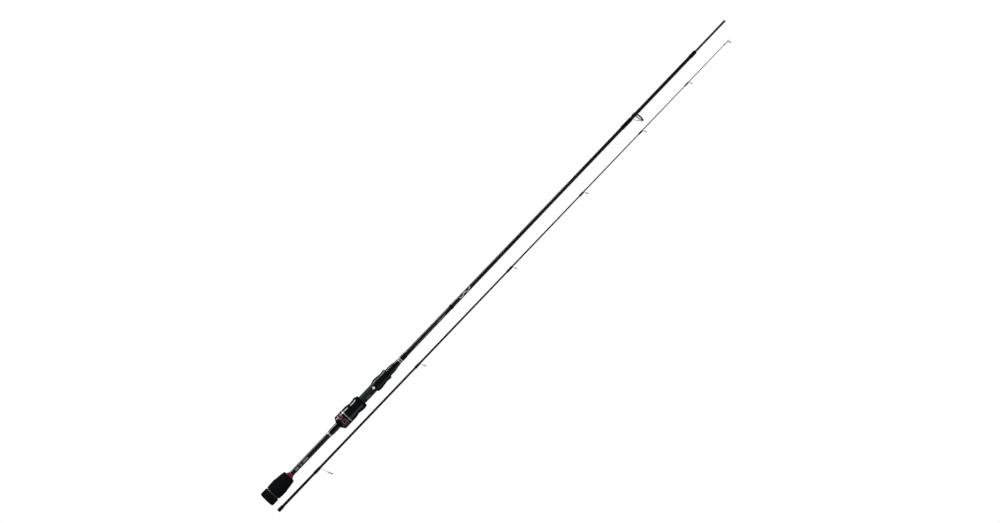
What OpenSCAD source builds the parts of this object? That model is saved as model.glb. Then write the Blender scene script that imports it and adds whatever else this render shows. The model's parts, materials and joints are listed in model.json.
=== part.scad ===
// Two-piece ultralight spinning rod, lying with its tip section beside its butt section.
// Millimetres. X runs from the butt towards the tips, Z is up and the floor is at Z = 0.
// The origin is at the bottom centre of the box round both sections.
// Along each section, x is counted from that section's own rear end, and r is a radius.

/* [Rear grip] */
// Length of the foam butt cap
cap_len = 12.5; // [11:0.5:14]
// Radius of the foam butt cap
cap_r = 12.05; // [11.5:0.05:12.2]
// Thickness of the spacer ring between the cap and the grip
spacer_len = 1.6; // [1:0.1:2]
// Length of the foam grip
grip_len = 33.6; // [30:0.1:36]
// Largest radius of the foam grip
grip_r = 12.25; // [11.8:0.05:13]
// Length of the red winding check in front of the grip
rear_check_len = 4.5; // [4:0.1:6]

/* [Blank] */
// Radius of the blank through the grip and the reel seat
blank_r = 3.8; // [3.7:0.05:3.9]
// Length of the bare blank between the grip and the reel seat
split_len = 77.8; // [70:0.1:90]
// Distance from the butt to the shoulder of the ferrule
butt_len = 890; // [885:1:900]
// Radius of the spigot of the ferrule
spigot_r = 1.6; // [1.55:0.01:1.65]
// Length of the spigot that stands out of the butt section
spigot_len = 61.4; // [55:0.1:64]
// Radial clearance between the spigot and the socket
ferrule_gap = 0.03; // [0.02:0.01:0.1]

/* [Reel seat] */
// Length of the trim ring behind the seat
trim_len = 2.2; // [2:0.1:3]
// Length of the collar that the lock nut backs over
collar_len = 19.7; // [19:0.1:22]
// Radius of that collar
collar_r = 4.7; // [4.5:0.05:4.75]
// Length of the seat pipe
pipe_len = 100.4; // [98:0.1:104]
// Outer radius of the seat pipe
pipe_r = 6.45; // [6.3:0.05:6.5]
// Distance from the axis to the flat bed that the reel's foot lies on
bed_depth = 5.7; // [5.6:0.05:5.8]
// Crest radius of the thread on the pipe
thread_r = 7.5; // [7.4:0.05:7.55]
// Pitch of that thread
thread_pitch = 2.2; // [2:0.1:2.4]
// Outer radius of the lock nut
nut_r = 11.3; // [11:0.05:11.6]
// Length of the fixed hood
fixed_hood_len = 28.1; // [27:0.1:29]
// Length of the cone in front of the fixed hood
cone_len = 23.3; // [22:0.1:25]
// Length of the polished ring in front of the cone
front_check_len = 5; // [4:0.1:6]

/* [Guides] */
// How far the butt section is rolled from having its guide straight down
butt_roll = 15; // [10:1:20]
// How far the tip section's guides are lifted from level
tip_lift = 7; // [7:0.5:9]
// Thickness of the thread that binds a guide's foot
wrap_t = 0.5; // [0.45:0.05:0.6]

/* [Layout] */
// Distance between the axes of the two sections
section_gap = 23.2; // [22.8:0.1:26]
// Length of the tip section
tip_len = 936; // [935:1:940]

/* [Hidden] */
GUIDE_PIECES = ["frame", "ring", "wrap"];

round_fn = 64;
FOAM = "#15171a";
BLANK = "#1c2222";
MOULDING = "#16191b";
SILVER = "#b9bcc0";
THREAD = "#0b0c0e";
CERAMIC = "#23262b";
RED = "#8a2f4a";

// Stations along the butt section, from the rear
cap_corner = 2.5;
spacer_x = cap_len;
grip_x = spacer_x + spacer_len;
rear_check_x = grip_x + grip_len;
split_x = rear_check_x + rear_check_len;
trim_x = split_x + split_len;
collar_x = trim_x + trim_len;
pipe_x = collar_x + collar_len;
cone_x = pipe_x + pipe_len;
fixed_hood_x = cone_x - fixed_hood_len;
front_check_x = cone_x + cone_len;
butt_wrap_x = front_check_x + front_check_len;
butt_wrap_len = 8.7;
trim_wrap_x = 382;
trim_wrap_len = 4.4;
ferrule_wrap_len = 11.7;
blank_x = 4;
tenon_len = 38;
bore_r = 2.8;
bore_end_r = 1.42;

// Radius of each blank by station
butt_taper = [[blank_x, blank_r], [cone_x + 8, blank_r], [front_check_x, 3.6], [290, 3.6], [300, 3.5],
              [430, 3], [630, 2.5], [butt_len, 2.5]];
tip_taper = [[0, 2.1], [95, 1.78], [300, 1.5], [495, 1.2], [640, 0.95], [765, 0.75], [862, 0.6],
             [tip_len, 0.42]];
// The butt blank's bore narrows in one cone, which the ferrule's tenon is bonded into
butt_bore = [[cone_x + 8, bore_r], [butt_len, bore_end_r]];

// The lock nut, its captive neck, and the rear of the sliding hood that turns on the neck
nut_gap = 0.08;
clear_gap = 0.3;
nut_x = pipe_x - 2.1;
nut_len = 17.1;
nut_end_len = 1.6;
nut_tail_r = 6.1;
nut_bore_r = thread_r + nut_gap;
nut_ring_x = nut_x + nut_len;
nut_ring_len = 1.3;
neck_r = 9.2;
flange_r = neck_r + 0.4;
flange_x = nut_ring_x + 2.5;
flange_len = 1;
inlay_x = nut_x + 7.2;
inlay_len = 6;
inlay_count = 8;
inlay_deg = 30;
inlay_r = 10.4;
thread_len = 27.1;

hood_x = nut_ring_x + nut_ring_len + clear_gap;
hood_end = 198.3;
hood_bore_r = thread_r + 0.35;
hood_lip_len = 8.8;
hood_wall = 1.1;

// Each hood's roof is turned about an axis of its own, further down than the rod's
sliding_roof = 3;
sliding_roof_r = 10.1;
sliding_pocket_x = 183.5;
fixed_roof = 5;
fixed_roof_r = 7.6;
fixed_pocket_len = 15.8;
fixed_wall = 0.9;
cushion_t = 1.5;

badge_x = fixed_hood_x - 0.8;
badge_r = 2.8;
badge_dot_r = 1.2;
badge_floor = 6;

// Each guide's wrap start and end, ring station, reach of its ring's centre, ring radius,
// the angle its ring leans forward, and half a leg's width
GUIDES = [
    [738, 756.4, 766.5, 22, 9.1, 15, 0.55],
    [74.8, 85.8, 91.3, 16.4, 4.3, 23, 0.4],
    [284.3, 293.2, 296.4, 6.9, 3.2, 19, 0.35],
    [475, 485.6, 488, 5.1, 2.5, 18, 0.32],
    [625.7, 634.3, 636.6, 4.9, 2.5, 18, 0.3],
    [748.8, 756.4, 758.6, 4.1, 2.3, 18, 0.28],
    [844.7, 852.4, 854.4, 3.8, 2.1, 18, 0.28]];
TIP_TOP = [926, 929.5, 935.4, 2.9, 2.3, 30, 0.3];
tip_tube_x = 929.5;
foot_t = 0.32;
foot_w = 1.3;
function hoop_t(r) = 0.35 + 0.09 * r;
function insert_t(r) = 0.3 + 0.17 * r;
function hoop_half(r) = 0.45 + 0.05 * r;

// The butt section rests on the corner of its cap and on the ring of its guide, so it lies at a slope
ring_1 = GUIDES[0];
guide_1_drop = ring_1[3] * cos(butt_roll)
    + ring_1[4] * sqrt(pow(sin(butt_roll), 2) + pow(cos(butt_roll) * cos(ring_1[5]), 2))
    + hoop_half(ring_1[4]) * sin(ring_1[5]) * cos(butt_roll);
butt_slope = asin((guide_1_drop - cap_r) / (ring_1[2] + 2 - cap_corner));
butt_height = cap_corner + (cap_r - cap_corner) * cos(butt_slope) - cap_corner * sin(butt_slope);
socket_wrap_r = 2.6;
socket_wrap_len = 9.7;
ring_2 = GUIDES[1];
tip_side = (ring_2[3] + ring_2[4] * cos(ring_2[5]) + hoop_half(ring_2[4]) * sin(ring_2[5])) * cos(tip_lift);
cap_overhang = (cap_r - cap_corner) * sin(butt_slope);
middle_x = ((butt_len + spigot_len) * cos(butt_slope) - cap_overhang) / 2;
middle_y = (grip_r - section_gap - tip_side) / 2;
tip_height = socket_wrap_r;

function reversed(p) = [for (i = [len(p) - 1:-1:0]) p[i]];
function spline_point(p, i, t) =
    let (a = p[max(i - 1, 0)], b = p[i], c = p[i + 1], d = p[min(i + 2, len(p) - 1)])
    0.5 * (2 * b + (c - a) * t + (2 * a - 5 * b + 4 * c - d) * t * t + (3 * b - a - 3 * c + d) * t * t * t);
// A smooth outline through [x, r] points, in n steps from each point to the next
function spline(p, n) =
    concat([for (i = [0:len(p) - 2], k = [0:n - 1]) spline_point(p, i, k / n)], [p[len(p) - 1]]);
// Points of a rounded corner with its centre at [x, r], from one angle to another
function corner(x, r, radius, from, to, n = 5) =
    [for (k = [0:n]) let (a = from + (to - from) * k / n) [x + radius * cos(a), r + radius * sin(a)]];
function straight(x0, x1, r) = [[x0, r], [x1, r]];
function on_blank(taper, x0, x1) = [[x0, lookup(x0, taper)], [x1, lookup(x1, taper)]];

// Where each section lies, and which way its guides point
module in_butt() {
    translate([-middle_x, -middle_y, butt_height]) rotate([0, -butt_slope, 0]) children();
}
module in_tip() {
    translate([-middle_x, -middle_y - section_gap, tip_height]) children();
}
module reel_side() {
    rotate([180 - butt_roll, 0, 0]) children();
}
module tip_side_up() {
    rotate([90 - tip_lift, 0, 0]) children();
}

// A body of revolution about the X axis between two outlines of [x, r] points
module turned(outer, inner) {
    rotate([0, 90, 0]) rotate_extrude($fn = round_fn)
        polygon([for (p = concat(outer, reversed(inner))) [p[1], p[0]]]);
}
// A tube or a rod along X
module tube(x0, x1, r_out, r_in = 0) {
    turned(straight(x0, x1, r_out), straight(x0, x1, r_in));
}
// A layer of the given thickness on a tapered blank
module on_taper(taper, x0, x1, r_out) {
    turned(straight(x0, x1, r_out), on_blank(taper, x0, x1));
}
// A block that is centred across the rod, from one distance below the axis to another
module block(x0, x1, w, z0, z1) {
    translate([x0, -w / 2, z0]) cube([x1 - x0, w, z1 - z0]);
}
// The space under a hood's roof, above the bed
module pocket(x0, x1, roof, r) {
    intersection() {
        translate([0, 0, roof]) tube(x0, x1, r);
        block(x0, x1, 2 * r, bed_depth, roof + r + 1);
    }
}

// ---- butt section ----
module butt_blank() {
    color(BLANK) in_butt() turned(butt_taper, concat([[blank_x, bore_r]], butt_bore));
}
module ferrule_spigot() {
    chamfer = 1.4;
    rear_x = butt_len - tenon_len;
    tip_x = butt_len + spigot_len;
    outer = concat(on_blank(butt_bore, rear_x, butt_len),
                   [[butt_len, spigot_r], [tip_x - chamfer, spigot_r], [tip_x, spigot_r - 0.4]]);
    color(BLANK) in_butt() turned(outer, straight(rear_x, tip_x, 0));
}
module ferrule_wrap() {
    color(THREAD) in_butt() on_taper(butt_taper, butt_len - ferrule_wrap_len, butt_len, 2.85);
}
module butt_cap() {
    front_corner = 1.2;
    outer = concat(corner(cap_corner, cap_r - cap_corner, cap_corner, 180, 90),
                   corner(cap_len - front_corner, cap_r - front_corner, front_corner, 90, 0));
    inner = [[0, 0], [blank_x, 0], [blank_x, blank_r], [cap_len, blank_r]];
    color(FOAM) in_butt() turned(outer, inner);
}
module butt_spacer_ring() {
    color("#8a8d91") in_butt() tube(spacer_x, grip_x, 10, blank_r);
}
module rear_grip() {
    rear_corner = 0.9;
    front = rear_check_x;
    barrel = spline([[grip_x + rear_corner, 11.85], [grip_x + 7, 12.15], [grip_x + 13.9, grip_r],
                     [front - 8, 10.75], [front - 1.5, 9.65]], 4);
    outer = concat(corner(grip_x + rear_corner, 11.85 - rear_corner, rear_corner, 180, 90), barrel,
                   [[front, 7.4]]);
    color(FOAM) in_butt() turned(outer, straight(grip_x, front, blank_r));
}
module rear_grip_check() {
    outer = concat([[rear_check_x, 6]],
                   spline([[rear_check_x + 0.8, 6], [rear_check_x + 2.3, 4.9], [split_x, 4.2]], 4));
    color(RED) in_butt() turned(outer, straight(rear_check_x, split_x, blank_r));
}
module rear_trim_ring() {
    color(SILVER) in_butt() tube(trim_x, collar_x, 4.15, blank_r);
}
module rear_collar() {
    outer = [[collar_x, 4.1], [collar_x + 1.8, 4.25], [collar_x + 3.8, collar_r], [pipe_x, collar_r]];
    color(MOULDING) in_butt() turned(outer, straight(collar_x, pipe_x, blank_r));
}

// ---- reel seat ----
module seat_pipe() {
    root_r = thread_r - 0.6;
    turns = floor(thread_len / thread_pitch);
    crests = [for (i = [0:turns - 1]) let (x = pipe_x + i * thread_pitch)
        each [[x, root_r], [x + 0.4, thread_r], [x + 1.1, thread_r], [x + 1.5, root_r]]];
    thread_end = pipe_x + thread_len;
    outer = concat(crests, [[thread_end - 0.5, root_r], [thread_end, pipe_r], [cone_x, pipe_r]]);
    color(MOULDING) in_butt() difference() {
        turned(outer, straight(pipe_x, cone_x, collar_r));
        reel_side() block(pipe_x - 1, cone_x - 6, 2 * thread_r, bed_depth, thread_r + 1);
        badge_seat();
    }
}
// Three rings of bonded filler hold the pipe on the blank
module seat_arbors() {
    color("#7d6f58") in_butt()
        for (x = [pipe_x + 4, pipe_x + 44, cone_x - 14]) tube(x, x + 10, collar_r, blank_r);
}
module fixed_hood() {
    x = fixed_hood_x;
    outer = spline([[x, 6.9], [x + 3, 8], [x + 7.5, 8.8], [x + 13, 8.3], [x + 19.5, 7.6],
                    [x + 25, 8.1], [cone_x, 8.1]], 3);
    roof = spline([[x, 6.9], [x + 4, fixed_roof_r], [x + 11, 7.3], [x + 20, 4.6], [x + 24, 2.4]], 3);
    color(MOULDING) in_butt() difference() {
        union() {
            turned(outer, straight(x, cone_x, pipe_r));
            difference() {
                reel_side() translate([0, 0, fixed_roof]) turned(roof, straight(x, x + 24, 0));
                tube(x - 1, cone_x + 1, pipe_r);
            }
        }
        reel_side() pocket(x - 1, x + fixed_pocket_len, fixed_roof, fixed_roof_r - fixed_wall);
        badge_seat();
    }
}
module fixed_hood_cushion() {
    end = fixed_hood_x + fixed_pocket_len;
    color("#2c2f33") in_butt() reel_side()
        pocket(end - cushion_t, end, fixed_roof, fixed_roof_r - fixed_wall);
}
module badge_seat() {
    translate([badge_x, 0, badge_floor]) cylinder(r = badge_r, h = 5, $fn = round_fn);
}
module seat_badge() {
    color("#0d0f12") in_butt() translate([badge_x, 0, badge_floor]) difference() {
        cylinder(r = badge_r, h = 0.95, $fn = round_fn);
        translate([0, 0, -1]) cylinder(r = badge_dot_r, h = 3, $fn = round_fn);
    }
}
module seat_badge_dot() {
    color("#e8eaec") in_butt() translate([badge_x, 0, badge_floor])
        cylinder(r = badge_dot_r, h = 1.1, $fn = round_fn);
}
module front_cone() {
    rib_pitch = 1.7;
    rib_count = 5;
    ribs = [for (i = [0:rib_count - 1]) let (x = cone_x + i * rib_pitch)
        each [[x, 5.85], [x + 0.4, 6.2], [x + 0.9, 6.2], [x + 1.3, 5.85]]];
    outer = concat(ribs, [[cone_x + 8.6, 5.9], [cone_x + 15.2, 5.1], [cone_x + 15.4, 4.8],
                          [front_check_x, 4.1]]);
    color(MOULDING) in_butt() turned(outer, on_cone());
}
// The stations where the blank's taper starts and ends under the cone
function on_cone() = [[cone_x, blank_r], [cone_x + 8, blank_r], [front_check_x, 3.6]];
module front_check_ring() {
    x = front_check_x;
    outer = [[x, 3.9], [x + 0.4, 4.1], [x + front_check_len - 0.4, 4.1], [x + front_check_len, 3.9]];
    color(SILVER) in_butt() turned(outer, straight(x, x + front_check_len, 3.6));
}
module butt_wrap() {
    color(THREAD) in_butt() on_taper(butt_taper, butt_wrap_x, butt_wrap_x + butt_wrap_len, 4.05);
}
module trim_wrap() {
    color(THREAD) in_butt() on_taper(butt_taper, trim_wrap_x, trim_wrap_x + trim_wrap_len, 3.72);
}

// ---- sliding hood and lock nut ----
module sliding_hood() {
    x = hood_x;
    lip = flange_x - clear_gap;
    groove_end = flange_x + flange_len + 0.5;
    outer = concat([[x, 11.05]], spline([[x + 0.4, 11.3], [x + 8, 11.1], [x + 15, 9.8], [x + 21.5, 10.5],
                    [x + 24.5, 10.85], [hood_end - 2, 9.5], [hood_end, 7.4]], 4));
    inner = [[x, neck_r + nut_gap], [lip, neck_r + nut_gap], [lip, flange_r + clear_gap],
             [groove_end, flange_r + clear_gap], [groove_end, hood_bore_r],
             [hood_end - hood_lip_len, hood_bore_r], [hood_end - hood_lip_len, pipe_r + clear_gap],
             [hood_end, pipe_r + clear_gap]];
    roof = spline([[x + 11, 4], [x + 16, 8.9], [x + 20, sliding_roof_r], [hood_end - 4, sliding_roof_r],
                   [hood_end, 9.5]], 4);
    color(MOULDING) in_butt() union() {
        difference() {
            union() {
                turned(outer, inner);
                difference() {
                    reel_side() translate([0, 0, sliding_roof]) turned(roof, straight(x + 11, hood_end, 0));
                    tube(x, hood_end - hood_lip_len, hood_bore_r);
                    tube(x, hood_end + 1, pipe_r + clear_gap);
                }
            }
            reel_side() pocket(sliding_pocket_x, hood_end + 1, sliding_roof, sliding_roof_r - hood_wall);
        }
        reel_side() hood_key();
    }
}
// The key runs along the flat side of the thread, so the hood can't turn
module hood_key() {
    block(hood_x + 3.5, hood_x + 10, 3, bed_depth + clear_gap, hood_bore_r + 0.6);
}
module sliding_hood_cushion() {
    x = sliding_pocket_x;
    color("#2c2f33") in_butt() difference() {
        reel_side() pocket(x, x + cushion_t, sliding_roof, sliding_roof_r - hood_wall);
        tube(x - 1, x + 3, hood_bore_r);
    }
}
// The shallow windows round the nut, which the red inlays fill
module inlay_ring(r_in, r_out) {
    for (i = [0:inlay_count - 1]) rotate([i * 360 / inlay_count, 0, 0]) rotate([0, 90, 0])
        rotate_extrude(angle = inlay_deg, $fn = round_fn)
            translate([r_in, inlay_x]) square([r_out - r_in, inlay_len]);
}
module lock_nut() {
    outer = [[nut_x, nut_tail_r], [nut_x + 3.9, nut_r], [nut_ring_x, nut_r], [nut_ring_x, neck_r],
             [flange_x, neck_r], [flange_x, flange_r], [flange_x + flange_len, flange_r]];
    inner = [[nut_x, collar_r + 0.5], [nut_x + nut_end_len, collar_r + 0.5],
             [nut_x + nut_end_len, nut_bore_r], [flange_x + flange_len, nut_bore_r]];
    color(MOULDING) in_butt() difference() {
        turned(outer, inner);
        inlay_ring(inlay_r, nut_r + 1);
    }
}
module lock_nut_inlays() {
    color(RED) in_butt() inlay_ring(inlay_r, nut_r - 0.15);
}
module lock_nut_ring() {
    color(SILVER) in_butt() tube(nut_ring_x, nut_ring_x + nut_ring_len, nut_r + 0.1, neck_r);
}

// ---- tip section ----
module tip_blank() {
    socket_len = spigot_len + 2;
    inner = [[0, spigot_r + ferrule_gap], [socket_len, spigot_r + ferrule_gap], [socket_len, 0],
             [tip_len, 0]];
    color(BLANK) in_tip() turned(tip_taper, inner);
}
module socket_wrap() {
    color(THREAD) in_tip() on_taper(tip_taper, 0, socket_wrap_len, socket_wrap_r);
}

// ---- guides: built upright, with the ring above the blank ----
module ring_place(g) {
    translate([g[2], 0, g[3]]) rotate([0, g[5], 0]) children();
}
// A bar of square section along a line through points, as a leg stamped from sheet is
module bar(points, half) {
    for (i = [0:len(points) - 2]) {
        d = points[i + 1] - points[i];
        translate(points[i]) rotate([0, acos(d[2] / norm(d)), atan2(d[1], d[0])])
            translate([-half, -half, 0]) cube([2 * half, 2 * half, norm(d) + half / 2]);
    }
}
module foot(g, taper, x1) {
    wide = min(foot_w, 1.7 * lookup(x1, taper));
    intersection() {
        turned([for (p = on_blank(taper, g[0], x1)) p + [0, foot_t]], on_blank(taper, g[0], x1));
        block(g[0] - 1, x1 + 1, wide, 0, 20);
    }
}
module guide_frame(g, taper) {
    heel_x = g[1] + 0.8;
    heel_z = lookup(heel_x, taper) + foot_t / 2;
    middle = (g[4] - hoop_t(g[4]) / 2);
    bend = [(heel_x + g[2]) / 2 - 0.5, 0.62 * g[4], heel_z + 0.42 * (g[3] - heel_z)];
    side = [g[2] - 0.17 * middle * sin(g[5]), 0.985 * middle, g[3] - 0.17 * middle * cos(g[5])];
    difference() {
        union() {
            foot(g, taper, heel_x);
            for (s = [-1, 1]) bar([[heel_x - 0.5, s * 0.2, heel_z], [bend[0], s * bend[1], bend[2]],
                                   [side[0], s * side[1], side[2]]], g[6]);
            ring_place(g) tube(-hoop_half(g[4]), hoop_half(g[4]), g[4], g[4] - hoop_t(g[4]));
        }
        ring_place(g) tube(-2 * g[4], 2 * g[4], g[4] - hoop_t(g[4]));
        turned(on_blank(taper, g[0] - 1, g[2]), straight(g[0] - 1, g[2], 0));
    }
}
module guide_ring(g) {
    half = hoop_half(g[4]) + 0.2;
    r_out = g[4] - hoop_t(g[4]);
    r_in = r_out - insert_t(g[4]);
    round_r = min(half, insert_t(g[4])) * 0.6;
    outer = [[-half, r_in + round_r], [-half, r_out], [half, r_out], [half, r_in + round_r]];
    inner = reversed(corner(0, 0, 1, 0, 180, 6));
    color(CERAMIC) ring_place(g)
        turned(outer, [for (p = reversed(inner)) [-p[0] * half, r_in + round_r - p[1] * round_r]]);
}
module guide_wrap(g, taper) {
    difference() {
        turned([for (p = on_blank(taper, g[0], g[1])) p + [0, wrap_t]], on_blank(taper, g[0], g[1]));
        foot(g, taper, g[1] + 1);
    }
}
module guide(i, piece) {
    g = GUIDES[i - 1];
    taper = i == 1 ? butt_taper : tip_taper;
    if (piece == "frame") color(SILVER) guide_frame(g, taper);
    if (piece == "ring") guide_ring(g);
    if (piece == "wrap") color(THREAD) guide_wrap(g, taper);
}
module placed_guide(i, piece) {
    if (i == 1) in_butt() reel_side() guide(i, piece);
    else in_tip() tip_side_up() guide(i, piece);
}
module tip_top_frame() {
    g = TIP_TOP;
    middle = g[4] - hoop_t(g[4]) / 2;
    front = tip_len + 0.6;
    color(SILVER) in_tip() tip_side_up() difference() {
        union() {
            turned([[tip_tube_x, 0.8], [front, 0.8]], [[tip_tube_x, 0], [front, 0]]);
            for (s = [-1, 1]) bar([[tip_tube_x + 2, s * 0.4, 0.4], [g[2], s * 0.95 * middle, g[3]]], g[6]);
            ring_place(g) tube(-hoop_half(g[4]), hoop_half(g[4]), g[4], g[4] - hoop_t(g[4]));
        }
        ring_place(g) tube(-2 * g[4], 2 * g[4], g[4] - hoop_t(g[4]));
        turned(on_blank(tip_taper, tip_tube_x - 1, tip_len), straight(tip_tube_x - 1, tip_len, 0));
    }
}
module tip_top_ring() {
    in_tip() tip_side_up() guide_ring(TIP_TOP);
}
module tip_top_wrap() {
    color(THREAD) in_tip() on_taper(tip_taper, TIP_TOP[0], TIP_TOP[1], 0.75);
}

butt_blank();
ferrule_spigot();
ferrule_wrap();
butt_cap();
butt_spacer_ring();
rear_grip();
rear_grip_check();
rear_trim_ring();
rear_collar();
seat_pipe();
seat_arbors();
fixed_hood();
fixed_hood_cushion();
seat_badge();
seat_badge_dot();
front_cone();
front_check_ring();
butt_wrap();
trim_wrap();
sliding_hood();
sliding_hood_cushion();
lock_nut();
lock_nut_ring();
lock_nut_inlays();
tip_blank();
socket_wrap();
tip_top_frame();
tip_top_ring();
tip_top_wrap();
for (i = [1:7], piece = GUIDE_PIECES)
    placed_guide(i, piece);
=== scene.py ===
"""Looks of a two-piece ultralight spinning rod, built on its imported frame.

Outlines are in millimetres along a section, counted from that section's rear end. Meshes are in metres.
A turned piece's UV map holds its station along its own axis in metres, and its turn about it as a share
of a whole one.
"""

import json
import math
from collections import namedtuple
from types import SimpleNamespace

import bmesh
import bpy
from bpy.props import FloatProperty, FloatVectorProperty, IntProperty, PointerProperty
from mathutils import Matrix, Vector


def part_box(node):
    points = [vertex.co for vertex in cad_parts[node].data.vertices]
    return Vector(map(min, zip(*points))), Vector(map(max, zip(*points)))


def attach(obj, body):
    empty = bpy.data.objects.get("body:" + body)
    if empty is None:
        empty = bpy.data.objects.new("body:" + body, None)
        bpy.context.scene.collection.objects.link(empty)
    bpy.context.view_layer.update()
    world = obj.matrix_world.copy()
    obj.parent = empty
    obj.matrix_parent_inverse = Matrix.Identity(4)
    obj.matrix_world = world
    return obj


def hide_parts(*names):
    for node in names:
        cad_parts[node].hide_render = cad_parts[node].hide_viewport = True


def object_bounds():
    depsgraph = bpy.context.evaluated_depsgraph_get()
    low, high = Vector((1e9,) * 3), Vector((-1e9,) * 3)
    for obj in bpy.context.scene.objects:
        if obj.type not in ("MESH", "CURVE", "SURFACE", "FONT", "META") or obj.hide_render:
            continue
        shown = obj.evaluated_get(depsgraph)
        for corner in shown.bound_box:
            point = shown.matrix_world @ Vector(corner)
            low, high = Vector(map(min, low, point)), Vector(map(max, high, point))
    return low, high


bl_info = {
    "name": "Spinning Rod",
    "version": (1, 0, 0),
    "blender": (4, 5, 0),
    "location": "View3D > Sidebar > Rod",
    "description": "Builds a two-piece spinning rod on its packed frame",
    "category": "Object",
}

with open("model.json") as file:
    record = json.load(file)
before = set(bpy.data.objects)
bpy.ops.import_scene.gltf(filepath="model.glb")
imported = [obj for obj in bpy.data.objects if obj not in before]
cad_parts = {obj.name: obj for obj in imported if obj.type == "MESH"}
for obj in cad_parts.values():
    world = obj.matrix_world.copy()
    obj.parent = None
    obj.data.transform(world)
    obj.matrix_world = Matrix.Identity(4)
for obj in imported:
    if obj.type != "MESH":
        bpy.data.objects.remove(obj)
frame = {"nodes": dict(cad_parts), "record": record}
CAD_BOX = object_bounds()
MM = 0.001
UV_NAME = "station_and_turn"
MOUNTS = {mount["name"]: mount for mount in frame["record"]["mounts"]}
SMALL_GUIDES = range(2, 8)
FINE, FINEST = 96, 128  # sides of a turned piece that shows a broad curve
WINDOW_TURN = 1 / 12  # how much of a turn each of the nut's windows takes
THIN_WIRE, WIRE_SHARE = 0.35, 0.09  # a hoop is this thick, and this share of its radius more

Span = namedtuple("Span", "start end rear front largest")
Ring = namedtuple("Ring", "x z radius half_width lean")


# ---- places, read from the frame ----


def section_matrix(origin, along, guide_side):
    """A section's own frame, with X along the rod and Z towards its guides."""
    x = along.normalized()
    z = (guide_side - guide_side.dot(x) * x).normalized()
    matrix = Matrix((x, z.cross(x), z)).transposed().to_4x4()
    matrix.translation = origin
    return matrix


def centre(node):
    """The middle of a CAD node's box."""
    low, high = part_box(node)
    return (low + high) / 2


def butt_frame():
    """The butt section starts at its end face, and its guides are on the reel's side."""
    end, bed = MOUNTS["butt_end"], MOUNTS["reel_bed"]
    return section_matrix(Vector(end["pos_m"]), -Vector(end["axis"]), Vector(bed["axis"]))


def tip_frame():
    """The tip section starts at the mouth of its socket, half a socket behind the mount."""
    socket = MOUNTS["ferrule_socket"]
    along = -Vector(socket["axis"])
    mouth = Vector(socket["pos_m"]) - along * socket["dims"]["length_mm"] / 2 * MM
    return section_matrix(mouth, along, centre("guide_2_ring") - mouth)


BUTT = butt_frame()
TIP = tip_frame()


def local_points(node, section):
    """A CAD node's vertices in its section's frame, in millimetres."""
    to_section = section.inverted()
    return [to_section @ vertex.co / MM for vertex in frame["nodes"][node].data.vertices]


def off_axis(point):
    """How far a point is from its section's axis."""
    return math.hypot(point.y, point.z)


def span(node, section):
    """Where a CAD node starts and ends along its section, and its radius at the rear, front and at most."""
    points = local_points(node, section)
    start, end = min(p.x for p in points), max(p.x for p in points)
    near = 0.05
    rear = max(off_axis(p) for p in points if p.x < start + near)
    front = max(off_axis(p) for p in points if p.x > end - near)
    return Span(start, end, rear, front, max(off_axis(p) for p in points))


def taper(node, section):
    """The outside of a CAD blank as (station, radius) points. A blank never widens towards its front, so
    whatever is narrower than what lies in front of it belongs to the bore."""
    radii = {}
    for point in local_points(node, section):
        station = round(point.x, 1)
        radii[station] = max(radii.get(station, 0), off_axis(point))
    outside, widest, tolerance = [], 0, 0.01
    for station, radius in sorted(radii.items(), reverse=True):
        if radius > widest - tolerance:
            outside.append((station, radius))
            widest = max(widest, radius)
    return outside[::-1]


def ring_of(node, section):
    """A CAD guide ring's centre, outer radius, half width and forward lean."""
    points = local_points(node, section)
    lows = [min(p[i] for p in points) for i in range(3)]
    highs = [max(p[i] for p in points) for i in range(3)]
    radius, proud = highs[1], 0.2
    half_width = hoop_wire(hoop_radius(radius))[1] + proud
    reach_x, reach_z = (highs[0] - lows[0]) / 2, (highs[2] - lows[2]) / 2
    lean = math.asin((radius * reach_x - half_width * reach_z) / (radius**2 - half_width**2))
    return Ring((highs[0] + lows[0]) / 2, (highs[2] + lows[2]) / 2, radius, half_width, lean)


def hoop_radius(insert_radius):
    """Outer radius of the wire hoop round a ceramic insert."""
    return (insert_radius + THIN_WIRE) / (1 - WIRE_SHARE)


def hoop_wire(radius):
    """A hoop's thickness and half width, which grow with its radius."""
    return THIN_WIRE + WIRE_SHARE * radius, 0.45 + 0.05 * radius


def turn_of(node, section):
    """The side of the rod that a CAD node is on, as a share of a turn from the guides' side."""
    point = section.inverted() @ centre(node)
    return math.atan2(point.y, point.z) / math.tau


# ---- outlines ----


def lookup(x, points):
    """The value at x on the line through (x, value) points."""
    if x <= points[0][0]:
        return points[0][1]
    for (x0, y0), (x1, y1) in zip(points, points[1:]):
        if x <= x1 and x1 > x0:
            return y0 + (y1 - y0) * (x - x0) / (x1 - x0)
    return points[-1][1]


def smooth(points, steps=6):
    """A smooth line through points of any number of dimensions."""
    ends = [points[0], *points, points[-1]]
    line = []
    for a, b, c, d in zip(ends, ends[1:], ends[2:], ends[3:]):
        for t in (k / steps for k in range(steps)):
            line.append(tuple(curve_at(t, *values) for values in zip(a, b, c, d)))
    return [*line, tuple(points[-1])]


def curve_at(t, a, b, c, d):
    """One coordinate of a Catmull-Rom curve between b and c."""
    return 0.5 * (2 * b + (c - a) * t + (2 * a - 5 * b + 4 * c - d) * t**2 + (3 * b - a - 3 * c + d) * t**3)


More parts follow.
